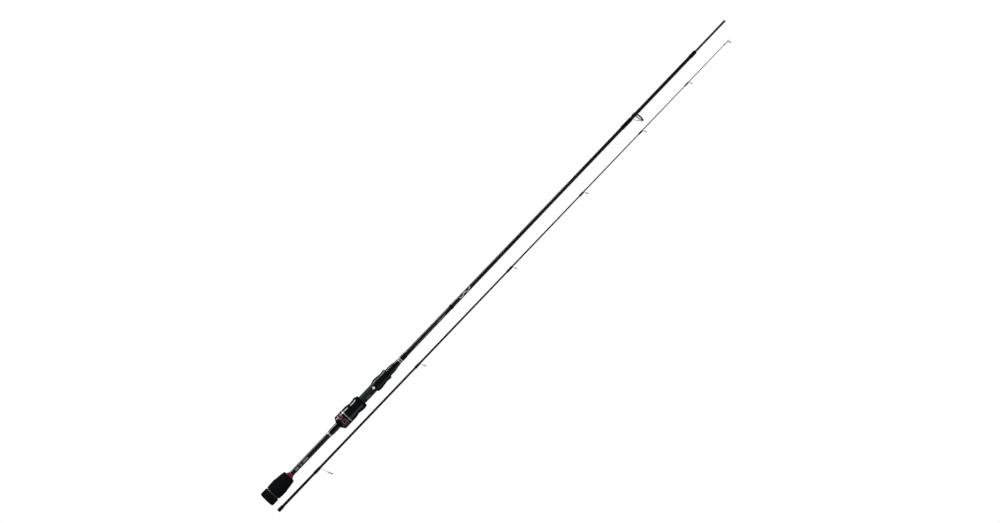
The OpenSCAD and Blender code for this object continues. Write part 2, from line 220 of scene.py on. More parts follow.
def rounded(corners, steps=4):
    """An outline whose (x, r, radius) corners are rounded; a corner of two numbers stays sharp."""
    outline = []
    for i, corner in enumerate(corners):
        point = Vector(corner[:2])
        if len(corner) == 2:
            outline.append(tuple(point))
            continue
        before = Vector(corners[i - 1][:2]) - point
        after = Vector(corners[(i + 1) % len(corners)][:2]) - point
        reach = corner[2] / math.tan(before.angle(after) / 2)
        start = point + before.normalized() * reach
        end = point + after.normalized() * reach
        for t in (k / steps for k in range(steps + 1)):
            outline.append(tuple(start.lerp(point, t).lerp(point.lerp(end, t), t)))
    return outline


def tube(start, end, outer, inner, edge):
    """The closed outline of a tube with rounded outer edges."""
    return rounded([(start, inner), (start, outer, edge), (end, outer, edge), (end, inner)])


def stations(start, end, step):
    """Evenly spaced stations, about a step apart."""
    count = max(1, round((end - start) / step))
    return [start + (end - start) * i / count for i in range(count + 1)]


# ---- meshes, built in a section's frame ----


def new_shape():
    """An empty shape with the map of stations and turns."""
    shape = bmesh.new()
    shape.loops.layers.uv.new(UV_NAME)
    return shape


def add_face(shape, corners, material=0):
    """A face from (vertex, station in mm, turn) corners, without the corners that repeat."""
    kept = [c for i, c in enumerate(corners) if c[0] is not corners[i - 1][0]]
    face = shape.faces.new([vertex for vertex, _, _ in kept])
    face.material_index = material
    uv = shape.loops.layers.uv.active
    for loop, (_, station, turn) in zip(face.loops, kept):
        loop[uv].uv = (station * MM, turn)


def turned(shape, outer, inner=(), segments=64, reshape=None, place=None, groove=None):
    """A body of revolution about X. reshape(x, r, turn) gives the outer radius, and faces between the
    groove's two stations take the second material."""
    place = place or Matrix.Identity(4)
    outline = [*outer, *reversed(inner)]
    rings = []
    for i, (x, r) in enumerate(outline):
        if r <= 0:
            rings.append([shape.verts.new(place @ Vector((x, 0, 0)) * MM)] * segments)
            continue
        ring = []
        for turn in (j / segments for j in range(segments)):
            radius = reshape(x, r, turn) if reshape and i < len(outer) else r
            angle = turn * math.tau
            point = Vector((x, radius * math.sin(angle), radius * math.cos(angle)))
            ring.append(shape.verts.new(place @ point * MM))
        rings.append(ring)
    closed = outline[0][1] > 0
    for i in range(len(rings) if closed else len(rings) - 1):
        low, high = rings[i], rings[(i + 1) % len(rings)]
        x0, x1 = outline[i][0], outline[(i + 1) % len(rings)][0]
        material = int(bool(groove) and min(x0, x1) >= groove[0] and max(x0, x1) <= groove[1])
        for j in range(segments):
            k = (j + 1) % segments
            turn, after = j / segments, (j + 1) / segments
            corners = [(low[j], x0, turn), (low[k], x0, after), (high[k], x1, after), (high[j], x1, turn)]
            add_face(shape, corners, material)


def loft(shape, rings):
    """A closed body through rings of (x, y, z) points, with flat ends."""
    rows = [[(shape.verts.new(Vector(p) * MM), p[0], math.atan2(p[1], p[2]) / math.tau) for p in ring]
            for ring in rings]
    for low, high in zip(rows, rows[1:]):
        for j in range(len(low)):
            add_face(shape, [low[j - 1], low[j], high[j], high[j - 1]])
    add_face(shape, rows[0])
    add_face(shape, rows[-1])


def wire(shape, path, half_width, half_height, sides=12):
    """A strip of rounded section along a path, with its width across the rod and rounded ends.
    The half sizes are (share of the length, size) points."""
    points = [Vector(p) for p in path]
    lengths = [0.0]
    for a, b in zip(points, points[1:]):
        lengths.append(lengths[-1] + (b - a).length)
    rings = []
    for i, point in enumerate(points):
        along = (points[min(i + 1, len(points) - 1)] - points[max(i - 1, 0)]).normalized()
        across = (Vector((0, 1, 0)) - along.y * along).normalized()
        share = lengths[i] / lengths[-1]
        width = across * lookup(share, half_width)
        height = along.cross(across) * lookup(share, half_height)
        angles = [math.tau * j / sides for j in range(sides)]
        rings.append([tuple(point + width * math.cos(a) + height * math.sin(a)) for a in angles])
    bulge, shrink = 0.6, 0.5
    for i, before in ((0, 1), (-1, -2)):
        outward = (points[i] - points[before]).normalized() * half_height[i][1] * bulge
        cap = [tuple(points[i] + outward + (Vector(p) - points[i]) * shrink) for p in rings[i]]
        rings = [cap, *rings] if i == 0 else [*rings, cap]
    loft(shape, rings)


def to_mesh(shape, name, *materials):
    """A finished mesh from a shape, still in its section's frame."""
    bmesh.ops.remove_doubles(shape, verts=shape.verts, dist=1e-8)
    bmesh.ops.recalc_face_normals(shape, faces=shape.faces)
    mesh = bpy.data.meshes.new(name)
    shape.to_mesh(mesh)
    shape.free()
    for material in materials:
        mesh.materials.append(material)
    return mesh


def plain_mesh(holder):
    """What an object's modifiers make of it, as a plain mesh. The object is removed."""
    depsgraph = bpy.context.evaluated_depsgraph_get()
    made = holder.evaluated_get(depsgraph)
    mesh = bpy.data.meshes.new_from_object(made, preserve_all_data_layers=True, depsgraph=depsgraph)
    bpy.data.objects.remove(holder)
    return mesh


def hold(mesh):
    """A passing object that carries a mesh while modifiers work on it."""
    holder = bpy.data.objects.new(mesh.name, mesh)
    bpy.context.scene.collection.objects.link(holder)
    return holder


def carved(mesh, *cutters):
    """A mesh with closed shapes cut out of it."""
    holder = hold(mesh)
    tools = [hold(to_mesh(cutter, "cutter")) for cutter in cutters]
    for tool in tools:
        modifier = holder.modifiers.new("Carve", "BOOLEAN")
        modifier.operation = "DIFFERENCE"
        modifier.solver = "EXACT"
        modifier.object = tool
    result = plain_mesh(holder)
    for tool in tools:
        bpy.data.objects.remove(tool)
    return result


def grown(tree, values, base=None):
    """What a Geometry Nodes tree makes with its named inputs, as a plain mesh."""
    holder = hold(base or bpy.data.meshes.new(tree.name))
    modifier = holder.modifiers.new(tree.name, "NODES")
    modifier.node_group = tree
    for item in tree.interface.items_tree:
        if item.in_out == "INPUT" and item.name in values:
            modifier[item.identifier] = values[item.name]
    return plain_mesh(holder)


def put(name, mesh, section, body, replaced=(), sharp=32):
    """Places a mesh from its section's frame, parents it to the body that it rides on, and hides the CAD
    nodes that it stands for.
    """
    mesh.transform(section)
    mesh.shade_smooth()
    mesh.set_sharp_from_angle(angle=math.radians(sharp))
    piece = bpy.data.objects.new(name, mesh)
    bpy.context.scene.collection.objects.link(piece)
    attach(piece, body)
    if replaced:
        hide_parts(*replaced)
    return piece


# ---- node trees ----


def feed(tree, node, inputs):
    """Gives a node's inputs their values, or links the sockets and nodes that feed them."""
    for key, value in inputs.items():
        if isinstance(value, bpy.types.Node):
            tree.links.new(value.outputs[0], node.inputs[key])
        elif isinstance(value, bpy.types.NodeSocket):
            tree.links.new(value, node.inputs[key])
        else:
            node.inputs[key].default_value = value


def add(tree, kind, inputs=None, **settings):
    """Adds a node with what goes into it, and its settings."""
    node = tree.nodes.new(kind)
    for key, value in settings.items():
        setattr(node, key, value)
    feed(tree, node, inputs or {})
    return node


def new_tree(name, inputs):
    """A Geometry Nodes tree with a geometry input and named inputs of (name, kind, default)."""
    tree = bpy.data.node_groups.new(name, "GeometryNodeTree")
    tree.interface.new_socket("Geometry", in_out="INPUT", socket_type="NodeSocketGeometry")
    for label, kind, default in inputs:
        socket = tree.interface.new_socket(label, in_out="INPUT", socket_type="NodeSocket" + kind)
        if default is not None:
            socket.default_value = default
    tree.interface.new_socket("Geometry", in_out="OUTPUT", socket_type="NodeSocketGeometry")
    return tree, tree.nodes.new("NodeGroupInput").outputs


def end_tree(tree, geometry, material):
    """Makes instances real, sets the material and closes a tree."""
    real = add(tree, "GeometryNodeRealizeInstances", {"Geometry": geometry})
    painted = add(tree, "GeometryNodeSetMaterial", {"Geometry": real, "Material": material})
    add(tree, "NodeGroupOutput", {"Geometry": painted})


def winding_tree():
    """Thread wound side by side round a tapered blank, up Z."""
    name = "thread_winding"
    if name in bpy.data.node_groups:
        return bpy.data.node_groups[name]
    tree, given = new_tree(name, [
        ("Length", "Float", 0.01), ("Rear Radius", "Float", 0.004), ("Front Radius", "Float", 0.004),
        ("Thread Diameter", "Float", 0.0002), ("Material", "Material", None)])
    turns = add(tree, "ShaderNodeMath", {0: given["Length"], 1: given["Thread Diameter"]}, operation="DIVIDE")
    half = add(tree, "ShaderNodeMath", {0: given["Thread Diameter"], 1: 0.5}, operation="MULTIPLY")
    rear = add(tree, "ShaderNodeMath", {0: given["Rear Radius"], 1: half}, operation="SUBTRACT")
    front = add(tree, "ShaderNodeMath", {0: given["Front Radius"], 1: half}, operation="SUBTRACT")
    spiral = add(tree, "GeometryNodeCurveSpiral", {
        "Resolution": 20, "Rotations": turns, "Start Radius": rear, "End Radius": front,
        "Height": given["Length"]})
    round_thread = add(tree, "GeometryNodeCurvePrimitiveCircle", {"Resolution": 5, "Radius": half})
    thread = add(tree, "GeometryNodeCurveToMesh", {
        "Curve": spiral, "Profile Curve": round_thread, "Fill Caps": True})
    end_tree(tree, thread, given["Material"])
    return tree


def rib_tree():
    """Round ribs one behind another up Z."""
    tree, given = new_tree("cone_ribs", [
        ("Count", "Int", 5), ("Pitch", "Float", 0.002), ("Radius", "Float", 0.006),
        ("Thickness", "Float", 0.001), ("Material", "Material", None)])
    step = add(tree, "ShaderNodeCombineXYZ", {"Z": given["Pitch"]})
    places = add(tree, "GeometryNodeMeshLine", {"Count": given["Count"], "Offset": step})
    half = add(tree, "ShaderNodeMath", {0: given["Thickness"], 1: 0.5}, operation="MULTIPLY")
    middle = add(tree, "ShaderNodeMath", {0: given["Radius"], 1: half}, operation="SUBTRACT")
    hoop = add(tree, "GeometryNodeCurvePrimitiveCircle", {"Resolution": 64, "Radius": middle})
    bead = add(tree, "GeometryNodeCurvePrimitiveCircle", {"Resolution": 10, "Radius": half})
    rib = add(tree, "GeometryNodeCurveToMesh", {"Curve": hoop, "Profile Curve": bead})
    ribs = add(tree, "GeometryNodeInstanceOnPoints", {"Points": places, "Instance": rib})
    end_tree(tree, ribs, given["Material"])
    return tree


def ring_tree():
    """Copies of the geometry that goes in, evenly round the X axis."""
    tree, given = new_tree("round_the_nut", [("Count", "Int", 8), ("Material", "Material", None)])
    points = add(tree, "GeometryNodePoints", {"Count": given["Count"]})
    number = add(tree, "GeometryNodeInputIndex")
    step = add(tree, "ShaderNodeMath", {0: math.tau, 1: given["Count"]}, operation="DIVIDE")
    angle = add(tree, "ShaderNodeMath", {0: number, 1: step}, operation="MULTIPLY")
    turn = add(tree, "ShaderNodeCombineXYZ", {"X": angle})
    copies = add(tree, "GeometryNodeInstanceOnPoints", {
        "Points": points, "Instance": given["Geometry"], "Rotation": turn})
    end_tree(tree, copies, given["Material"])
    return tree


# ---- sizes and colours that a user would change ----


def hex_colour(code):
    """An sRGB hex colour, turned linear, with full alpha."""
    shares = [int(code[i:i + 2], 16) / 255 for i in (1, 3, 5)]
    return (*[s / 12.92 if s <= 0.04045 else ((s + 0.055) / 1.055) ** 2.4 for s in shares], 1.0)


def length(name, description, millimetres):
    """A property that holds a length in metres."""
    return FloatProperty(name=name, description=description, default=millimetres * MM, min=0, unit="LENGTH")


def colour(name, description, code):
    """A property that holds a linear colour."""
    return FloatVectorProperty(
        name=name, description=description, default=hex_colour(code), size=4, min=0, max=1, subtype="COLOR")


def amount(name, description, default):
    """A property that holds a plain number, not below nought."""
    return FloatProperty(name=name, description=description, default=default, min=0)


class RodSizes(bpy.types.PropertyGroup):
    """Sizes that the frame leaves open."""

    blank_wall: length("Blank Wall", "Wall of the carbon blank at its butt", 1.0)
    thread_pitch: length("Thread Pitch", "Pitch of the seat's thread", 2.2)
    thread_depth: length("Thread Depth", "Height of the seat's thread", 0.6)
    winding_thread: length("Winding Thread", "Diameter of the thread that binds the guides", 0.2)
    varnish: length("Varnish", "Varnish over the winding thread", 0.1)
    hood_blend: length("Hood Blend", "Fillet between a hood's barrel and its roof", 0.9)
    edge: length("Edge", "Rounding of moulded and turned edges", 0.25)
    windows: IntProperty(name="Windows", description="Red windows round the lock nut", default=8, min=1)
    cone_ribs: IntProperty(name="Cone Ribs", description="Ribs round the front cone", default=5, min=1)


class RodColours(bpy.types.PropertyGroup):
    """Colours of the finishes."""

    foam: colour("Foam", "EVA foam", "#0a0c0f")
    carbon: colour("Carbon", "Coated carbon blank", "#0b0e0e")
    moulding: colour("Moulding", "Glass-filled nylon", "#05080a")
    thread: colour("Thread", "Winding thread", "#060708")
    red: colour("Red", "Anodised winding check", "#9a3350")
    steel: colour("Steel", "Guide wire", "#b9bcc0")
    mark: colour("Mark", "Printed line marks", "#c6cbc8")


class RodStudio(bpy.types.PropertyGroup):
    """Camera and lights."""

    lens: FloatProperty(name="Lens", description="Focal length in millimetres", default=200, min=20)
    view_width: length("View Width", "Width that the camera sees at the rod", 1434)
    view_turn: FloatProperty(
        name="View Turn", description="Turn of the camera about the vertical", default=math.radians(-46.285),
        subtype="ANGLE")
    softbox: amount("Softbox", "Radiance of the long softbox", 15)
    fill: amount("Fill", "Radiance of the fill panel", 0.5)
    top_light: amount("Top Light", "Radiance of the scrim overhead", 2.8)
    bounce: amount("Bounce", "Radiance of the light off the floor", 1.6)
    room: amount("Room", "Light from the room", 0.015)


def sizes():
    """The rod's sizes: its lengths in millimetres, and its counts."""
    held = bpy.context.scene.rod_sizes
    values = {key: getattr(held, key) for key in RodSizes.__annotations__}
    return SimpleNamespace(**{key: v / MM if isinstance(v, float) else v for key, v in values.items()})


def paint(key):
    """One of the rod's colours."""
    return tuple(getattr(bpy.context.scene.rod_colours, key))


# ---- finishes ----

DARK, LIGHT, MIXED = 6, 7, 2  # the sockets of a colour mix


def finish(make):
    """The material that a function fills in, made the first time that it is asked for."""
    if make.__name__ not in bpy.data.materials:
        material = bpy.data.materials.new(make.__name__)
        material.use_nodes = True
        tree = material.node_tree
        tree.nodes.clear()
        shader = add(tree, "ShaderNodeBsdfPrincipled")
        add(tree, "ShaderNodeOutputMaterial", {"Surface": shader})
        coordinates = add(tree, "ShaderNodeTexCoord")
        make(tree, shader, coordinates.outputs["Object"])
    return bpy.data.materials[make.__name__]


def per_mm(size):
    """The scale of a pattern whose grain has a size in millimetres."""
    return 1 / (size * MM)


def station_and_turn(tree):
    """Sockets with the station along the rod in metres, and the turn about it."""
    place = add(tree, "ShaderNodeUVMap", uv_map=UV_NAME)
    parts = add(tree, "ShaderNodeSeparateXYZ", {"Vector": place})
    return parts.outputs["X"], parts.outputs["Y"]


def patch(tree, rear, front, middle, half_turn):
    """A mask of the patch between two stations in millimetres, within a half turn of a middle turn."""
    station, turn = station_and_turn(tree)
    along = add(tree, "ShaderNodeMath", {
        0: station, 1: (rear + front) / 2 * MM, 2: (front - rear) / 2 * MM}, operation="COMPARE")
    around = add(tree, "ShaderNodeMath", {0: turn, 1: middle, 2: half_turn}, operation="COMPARE")
    return add(tree, "ShaderNodeMath", {0: along, 1: around}, operation="MULTIPLY")


def line_marks(tree, marks, facing):
    """A mask of plain printed lines. A mark is (rear, front, line pitch, line share, turn, half turn),
    in millimetres, and its turn counts from the side that faces up."""
    station, _ = station_and_turn(tree)
    total = 0.0
    for rear, front, pitch, share, side, half_turn in marks:
        phase = add(tree, "ShaderNodeMath", {0: station, 1: pitch * MM}, operation="DIVIDE")
        cycle = add(tree, "ShaderNodeMath", {0: phase}, operation="FRACT")
        line = add(tree, "ShaderNodeMath", {0: cycle, 1: 0.5, 2: share / 2}, operation="COMPARE")
        mark = add(tree, "ShaderNodeMath", {
            0: patch(tree, rear, front, facing + side, half_turn), 1: line}, operation="MULTIPLY")
        total = add(tree, "ShaderNodeMath", {0: total, 1: mark}, operation="MAXIMUM")
    return total


def zigzag(tree, rear, front, facing):
    """A mask of one plain zigzag line between two stations in millimetres."""
    pitch, swing, half_line = 5.8, 0.14, 0.03
    station, _ = station_and_turn(tree)
    phase = add(tree, "ShaderNodeMath", {0: station, 1: pitch * MM}, operation="DIVIDE")
    fold = add(tree, "ShaderNodeMath", {0: phase, 1: 1.0}, operation="PINGPONG")
    middle = add(tree, "ShaderNodeMath", {0: fold, 1: swing, 2: facing - swing / 2}, operation="MULTIPLY_ADD")
    return patch(tree, rear, front, middle, half_line)


def grained(tree, shader, pattern, dark, light, sockets, relief=None):
    """Lets one pattern mix a finish's two tones and raise its relief of (millimetres, strength)."""
    tone = add(tree, "ShaderNodeMix", {0: pattern, DARK: dark, LIGHT: light}, data_type="RGBA")
    feed(tree, shader, {"Base Color": tone.outputs[MIXED], **sockets})
    if relief:
        bump = add(tree, "ShaderNodeBump", {
            "Height": pattern, "Distance": relief[0] * MM, "Strength": relief[1]})
        feed(tree, shader, {"Normal": bump})


def coated_carbon(tree, shader, place, mask=None, coat=0.9, low=0.4, high=0.55):
    """The blank's look: carbon tow, lightly coloured along the fibre, under the spiral ridges that
    shrink tape leaves, with a clear coat over it all."""
    tape_pitch, fibre_width, fibre_length, cloud_size, girth = 1.3, 0.35, 14.0, 30.0, 26
    station, turn = station_and_turn(tree)
    along = add(tree, "ShaderNodeCombineXYZ", {"X": station, "Y": turn})
    stretched = add(tree, "ShaderNodeVectorMath", {
        0: along, 1: (per_mm(fibre_length), girth / fibre_width, 1)}, operation="MULTIPLY")
    fibres = add(tree, "ShaderNodeTexNoise", {"Vector": stretched, "Scale": 1.0, "Detail": 5.0})
    clouds = add(tree, "ShaderNodeTexNoise", {"Vector": place, "Scale": per_mm(cloud_size), "Detail": 2.0})
    blend = add(tree, "ShaderNodeMath", {0: fibres, 1: clouds}, operation="MULTIPLY")
    tone = add(tree, "ShaderNodeMix", {
        0: blend, DARK: paint("carbon"), LIGHT: hex_colour("#212625")}, data_type="RGBA").outputs[MIXED]
    turns = add(tree, "ShaderNodeMath", {0: station, 1: math.tau * per_mm(tape_pitch)}, operation="MULTIPLY")
    angle = add(tree, "ShaderNodeMath", {0: turn, 1: math.tau, 2: turns}, operation="MULTIPLY_ADD")
    ridge = add(tree, "ShaderNodeMath", {0: angle}, operation="SINE")
    relief = add(tree, "ShaderNodeBump", {"Height": ridge, "Distance": 0.012 * MM, "Strength": 0.12})
    rough = add(tree, "ShaderNodeMapRange", {
        "Value": fibres, "From Min": 0.3, "From Max": 0.7, "To Min": low, "To Max": high})
    if mask:
        tone = add(tree, "ShaderNodeMix", {
            0: mask, DARK: tone, LIGHT: paint("mark")}, data_type="RGBA").outputs[MIXED]
    feed(tree, shader, {
        "Base Color": tone, "Roughness": rough, "Normal": relief, "IOR": 1.5,
        "Specular IOR Level": 0.1, "Coat Weight": coat, "Coat Roughness": 0.08, "Coat IOR": 1.5})


def sanded_carbon(tree, shader, place):
    """Carbon fibre rolled on a mandrel and sanded, with no clear coat over it: near black and soft."""
    coated_carbon(tree, shader, place, coat=0.0, low=0.5, high=0.62)


def printed_carbon(tree, shader, place):
    """The same blank with plain pale line marks printed under its clear coat, on the side that shows."""
    marks = [
        (60.5, 66.5, 1.5, 0.6, -0.03, 0.07), (69.5, 73, 1.1, 0.6, -0.03, 0.06),
        (76, 86, 1.6, 0.55, -0.03, 0.07), (307, 350, 2.1, 0.4, -0.11, 0.035),
        (353, 370, 1.7, 0.5, -0.08, 0.045)]
    facing, thin_ink = turn_of("seat_badge", BUTT), 0.45
    lines = add(tree, "ShaderNodeMath", {
        0: line_marks(tree, marks, facing), 1: thin_ink}, operation="MULTIPLY")
    mask = add(tree, "ShaderNodeMath", {
        0: lines, 1: zigzag(tree, 401, 424, facing - 0.02)}, operation="MAXIMUM")
    coated_carbon(tree, shader, place, mask)


def ground_carbon(tree, shader, place):
    """Bare carbon rod, centreless ground: satin grey black with fine rings left by the wheel."""
    ring_pitch = 0.4
    rings = add(tree, "ShaderNodeTexNoise", {
        "W": station_and_turn(tree)[0], "Scale": per_mm(ring_pitch), "Detail": 3.0}, noise_dimensions="1D")
    grained(tree, shader, rings, paint("carbon"), hex_colour("#3a3d3e"), {"Roughness": 0.42, "IOR": 1.6},
            (0.02, 0.4))


def eva_foam(tree, shader, place):
    """EVA foam, turned and buffed. Its torn cells make it dead matt, and handling leaves faint patches a
    centimetre across. The cells are finer than this, and are drawn half a millimetre wide to show."""
    cell_size, patch_size = 0.55, 9.0
    cells = add(tree, "ShaderNodeTexVoronoi", {"Vector": place, "Scale": per_mm(cell_size)})
    patches = add(tree, "ShaderNodeTexNoise", {"Vector": place, "Scale": per_mm(patch_size), "Detail": 5.0})
    fleck = add(tree, "ShaderNodeMath", {0: cells, 1: patches}, operation="MULTIPLY")
    tone = add(tree, "ShaderNodeMix", {
        0: fleck, DARK: paint("foam"), LIGHT: hex_colour("#15191c")}, data_type="RGBA")
    relief = add(tree, "ShaderNodeBump", {"Height": cells, "Distance": 0.12 * MM, "Strength": 0.55})
    feed(tree, shader, {
        "Base Color": tone.outputs[MIXED], "Roughness": 0.92, "Normal": relief, "IOR": 1.45,
        "Specular IOR Level": 0.04})


def moulded_nylon(tree, shader, place):
    """Glass-filled nylon from a polished mould, at its full gloss."""
    gloss_moulding(tree, shader, place)


def printed_nylon(tree, shader, place):
    """The satin moulding with a short plain line mark on the side that shows."""
    marks = [(205.5, 212.5, 2.4, 0.5, -0.09, 0.045)]
    satin_moulding(tree, shader, place, line_marks(tree, marks, turn_of("seat_badge", BUTT)))


def satin_moulding(tree, shader, place, mask=None):
    """The seat pipe's satin green grey, with a mask of what is printed on it."""
    grain_size, flow_size = 0.3, 9.0
    grain = add(tree, "ShaderNodeTexNoise", {"Vector": place, "Scale": per_mm(grain_size), "Detail": 4.0})
    flow = add(tree, "ShaderNodeTexNoise", {"Vector": place, "Scale": per_mm(flow_size), "Detail": 3.0})
    rough = add(tree, "ShaderNodeMapRange", {
        "Value": flow, "From Min": 0.35, "From Max": 0.7, "To Min": 0.5, "To Max": 0.62})
    tone = add(tree, "ShaderNodeMix", {
        0: flow, DARK: hex_colour("#0d1415"), LIGHT: hex_colour("#1a2526")}, data_type="RGBA").outputs[MIXED]
    if mask:
        tone = add(tree, "ShaderNodeMix", {
            0: mask, DARK: tone, LIGHT: hex_colour("#6b5a60")}, data_type="RGBA").outputs[MIXED]
    relief = add(tree, "ShaderNodeBump", {"Height": grain, "Distance": 0.015 * MM, "Strength": 0.4})
    feed(tree, shader, {
        "Base Color": tone, "Roughness": rough, "Normal": relief, "IOR": 1.53, "Specular IOR Level": 0.2})


def soft_gloss_nylon(tree, shader, place):
    """The same nylon with less polish: its highlight is thin and grey."""
    gloss_moulding(tree, shader, place, coat=0.1, low=0.24, high=0.34)


def gloss_moulding(tree, shader, place, coat=0.6, low=0.16, high=0.27):
    """The seat's gloss black, with a slight ripple where the glass sits near the skin, and a faint haze."""
    ripple_size, haze_size = 1.6, 6.0
    ripple = add(tree, "ShaderNodeTexNoise", {"Vector": place, "Scale": per_mm(ripple_size), "Detail": 3.0})
    haze = add(tree, "ShaderNodeTexNoise", {"Vector": place, "Scale": per_mm(haze_size), "Detail": 6.0})
    rough = add(tree, "ShaderNodeMapRange", {
        "Value": haze, "From Min": 0.35, "From Max": 0.7, "To Min": low, "To Max": high})
    relief = add(tree, "ShaderNodeBump", {"Height": ripple, "Distance": 0.02 * MM, "Strength": 0.3})
    grained(tree, shader, haze, paint("moulding"), hex_colour("#0d1417"), {
        "Roughness": rough, "Normal": relief, "IOR": 1.53, "Specular IOR Level": 0.35,
        "Coat Weight": coat, "Coat Roughness": 0.05})


def turned_metal(tree, shader, tone, low, high, pitch=0.12, metallic=0.6):
    """Metal from a lathe: its roughness varies in fine rings round the rod. Less than fully metallic, it
    shows its own colour where it would mirror a pale room."""
    rings = add(tree, "ShaderNodeTexNoise", {
        "W": station_and_turn(tree)[0], "Scale": per_mm(pitch), "Detail": 2.0}, noise_dimensions="1D")
    rough = add(tree, "ShaderNodeMapRange", {
        "Value": rings, "From Min": 0.3, "From Max": 0.7, "To Min": low, "To Max": high})
    relief = add(tree, "ShaderNodeBump", {"Height": rings, "Distance": 0.006 * MM, "Strength": 0.35})
    feed(tree, shader, {"Base Color": tone, "Metallic": metallic, "Roughness": rough, "Normal": relief})


def red_anodised_aluminium(tree, shader, place):
    """Aluminium dyed red as it was anodised: a deep metal red that goes pink where light strikes it."""
    turned_metal(tree, shader, paint("red"), 0.34, 0.46)


def cut_red_aluminium(tree, shader, place):
    """The same red, darker, with a painted highlight: a pale pink band round each window's border stands in
    for the light that its edges catch.
    """
    border, border_turn, inlays = 0.55, 0.0085, span("lock_nut_inlays", BUTT)
    middle = first_window("lock_nut_inlays", BUTT, sizes().windows) + WINDOW_TURN / 2
    window_middle = patch(tree, inlays.start + border, inlays.end - border, middle, WINDOW_TURN / 2 - border_turn)
    # The pale pink is a painted highlight on each window's border; the dark red in the middle is the metal's
    # own colour.
    tone = add(tree, "ShaderNodeMix", {
        0: window_middle, DARK: hex_colour("#d9a6b4"), LIGHT: hex_colour("#541023")}, data_type="RGBA").outputs[MIXED]
    turned_metal(tree, shader, tone, 0.38, 0.5)


def polished_aluminium(tree, shader, place):
    """Aluminium ring, cut bright and lacquered."""
    turned_metal(tree, shader, hex_colour("#c2c6c6"), 0.3, 0.42)


def satin_grey_aluminium(tree, shader, place):
    """Bead-blasted and grey anodised aluminium: soft, with no sharp highlight."""
    turned_metal(tree, shader, hex_colour("#54575a"), 0.42, 0.55, 0.3)


def stamped_steel(tree, shader, place):
    """Stainless strip, stamped and barrel polished: bright, with faint tumbling marks. It is kept mostly
    unmetallic, so that it shows its own grey where it would mirror a pale room."""
    mark_size = 0.5
    marks = add(tree, "ShaderNodeTexNoise", {"Vector": place, "Scale": per_mm(mark_size), "Detail": 4.0})
    rough = add(tree, "ShaderNodeMapRange", {
        "Value": marks, "From Min": 0.3, "From Max": 0.7, "To Min": 0.28, "To Max": 0.4})
    grained(tree, shader, marks, paint("steel"), hex_colour("#dfe1e3"), {"Metallic": 0.3, "Roughness": rough},
            (0.01, 0.25))


def polished_ceramic(tree, shader, place):
    """Dark alumina ring, diamond polished: a grey black glaze with a fine grain under it."""
    grain_size = 0.15
    grain = add(tree, "ShaderNodeTexVoronoi", {"Vector": place, "Scale": per_mm(grain_size)})
    grained(tree, shader, grain, hex_colour("#1c1f22"), hex_colour("#34383c"), {
        "Roughness": 0.12, "IOR": 1.76})


def nylon_thread(tree, shader, place):
    """Twisted nylon thread, wet through with varnish: black, with fine fibres along it."""
    fibre_size = 0.08
    fibres = add(tree, "ShaderNodeTexNoise", {"Vector": place, "Scale": per_mm(fibre_size), "Detail": 2.0})
    grained(tree, shader, fibres, paint("thread"), hex_colour("#24272b"), {
        "Roughness": 0.4, "IOR": 1.5, "Specular IOR Level": 0.2})


def rod_varnish(tree, shader, place):
    """Two-part rod varnish, brushed on while the rod turns: a thick wet gloss with slow waves in it.
    It is drawn as tinted by the thread under it."""
    wave_size = 2.5
    waves = add(tree, "ShaderNodeTexNoise", {"Vector": place, "Scale": per_mm(wave_size), "Detail": 1.0})
    grained(tree, shader, waves, paint("thread"), hex_colour("#0e0f11"), {
        "Roughness": 0.2, "IOR": 1.52, "Specular IOR Level": 0.25}, (0.04, 0.4))


def pad_rubber(tree, shader, place):
    """Moulded rubber pad: dark grey and matt, with a fine moulded grain."""
    grain_size = 0.4
    grain = add(tree, "ShaderNodeTexNoise", {"Vector": place, "Scale": per_mm(grain_size), "Detail": 5.0})
    grained(tree, shader, grain, hex_colour("#232629"), hex_colour("#3a3e42"), {"Roughness": 0.75},
            (0.05, 0.5))


def hardened_filler(tree, shader, place):
    """Cord and epoxy filler, set hard and turned down: brown grey with pale specks."""
    speck_size = 0.8
    specks = add(tree, "ShaderNodeTexVoronoi", {"Vector": place, "Scale": per_mm(speck_size)})
    grained(tree, shader, specks, hex_colour("#6b5d4b"), hex_colour("#95866f"), {"Roughness": 0.6},
            (0.06, 0.5))


def pearl_enamel(tree, shader, place):
    """White enamel with mica in it, flowed into the boss and cured: a domed gloss with faint flakes."""
    flake_size = 0.2
    flakes = add(tree, "ShaderNodeTexVoronoi", {"Vector": place, "Scale": per_mm(flake_size)})
    grained(tree, shader, flakes, hex_colour("#e2e5e8"), hex_colour("#f4f5f6"), {
        "Roughness": 0.2, "Coat Weight": 1.0, "Coat Roughness": 0.05})


def black_enamel(tree, shader, place):
    """Black enamel wiped into a turned groove: thin, in cloudy patches."""
    film_size = 0.5
    film = add(tree, "ShaderNodeTexNoise", {"Vector": place, "Scale": per_mm(film_size), "Detail": 3.0})
    grained(tree, shader, film, hex_colour("#0d0e10"), hex_colour("#1d1f22"), {"Roughness": 0.35})


# ---- shapes of this rod's pieces ----


def blended_max(a, b, blend):
    """The greater of two radii, with a fillet where they meet."""
    overlap = max(blend - abs(a - b), 0) / blend
    return max(a, b) + overlap**2 * blend / 4


def roofed(roof, offset, blend):
    """Reshapes a hood's barrel: adds a roof turned about an axis that lies offset towards the reel."""
    def reshape(x, r, turn):
        if not roof[0][0] <= x <= roof[-1][0]:
            return r
        angle, radius = turn * math.tau, lookup(x, roof)
        inside = radius**2 - (offset * math.sin(angle)) ** 2
        if inside <= 0 or math.cos(angle) <= 0:
            return r
        return blended_max(r, offset * math.cos(angle) + math.sqrt(inside), blend)
    return reshape


def pocket(x, offset, radius, floor, steps=24):
    """The outline at a station of the space for a reel's foot, between the flat bed and a round roof."""
    widest = math.acos((floor - offset) / radius)
    angles = [widest * (2 * i / steps - 1) for i in range(steps + 1)]
    return [(x, radius * math.sin(a), offset + radius * math.cos(a)) for a in angles]


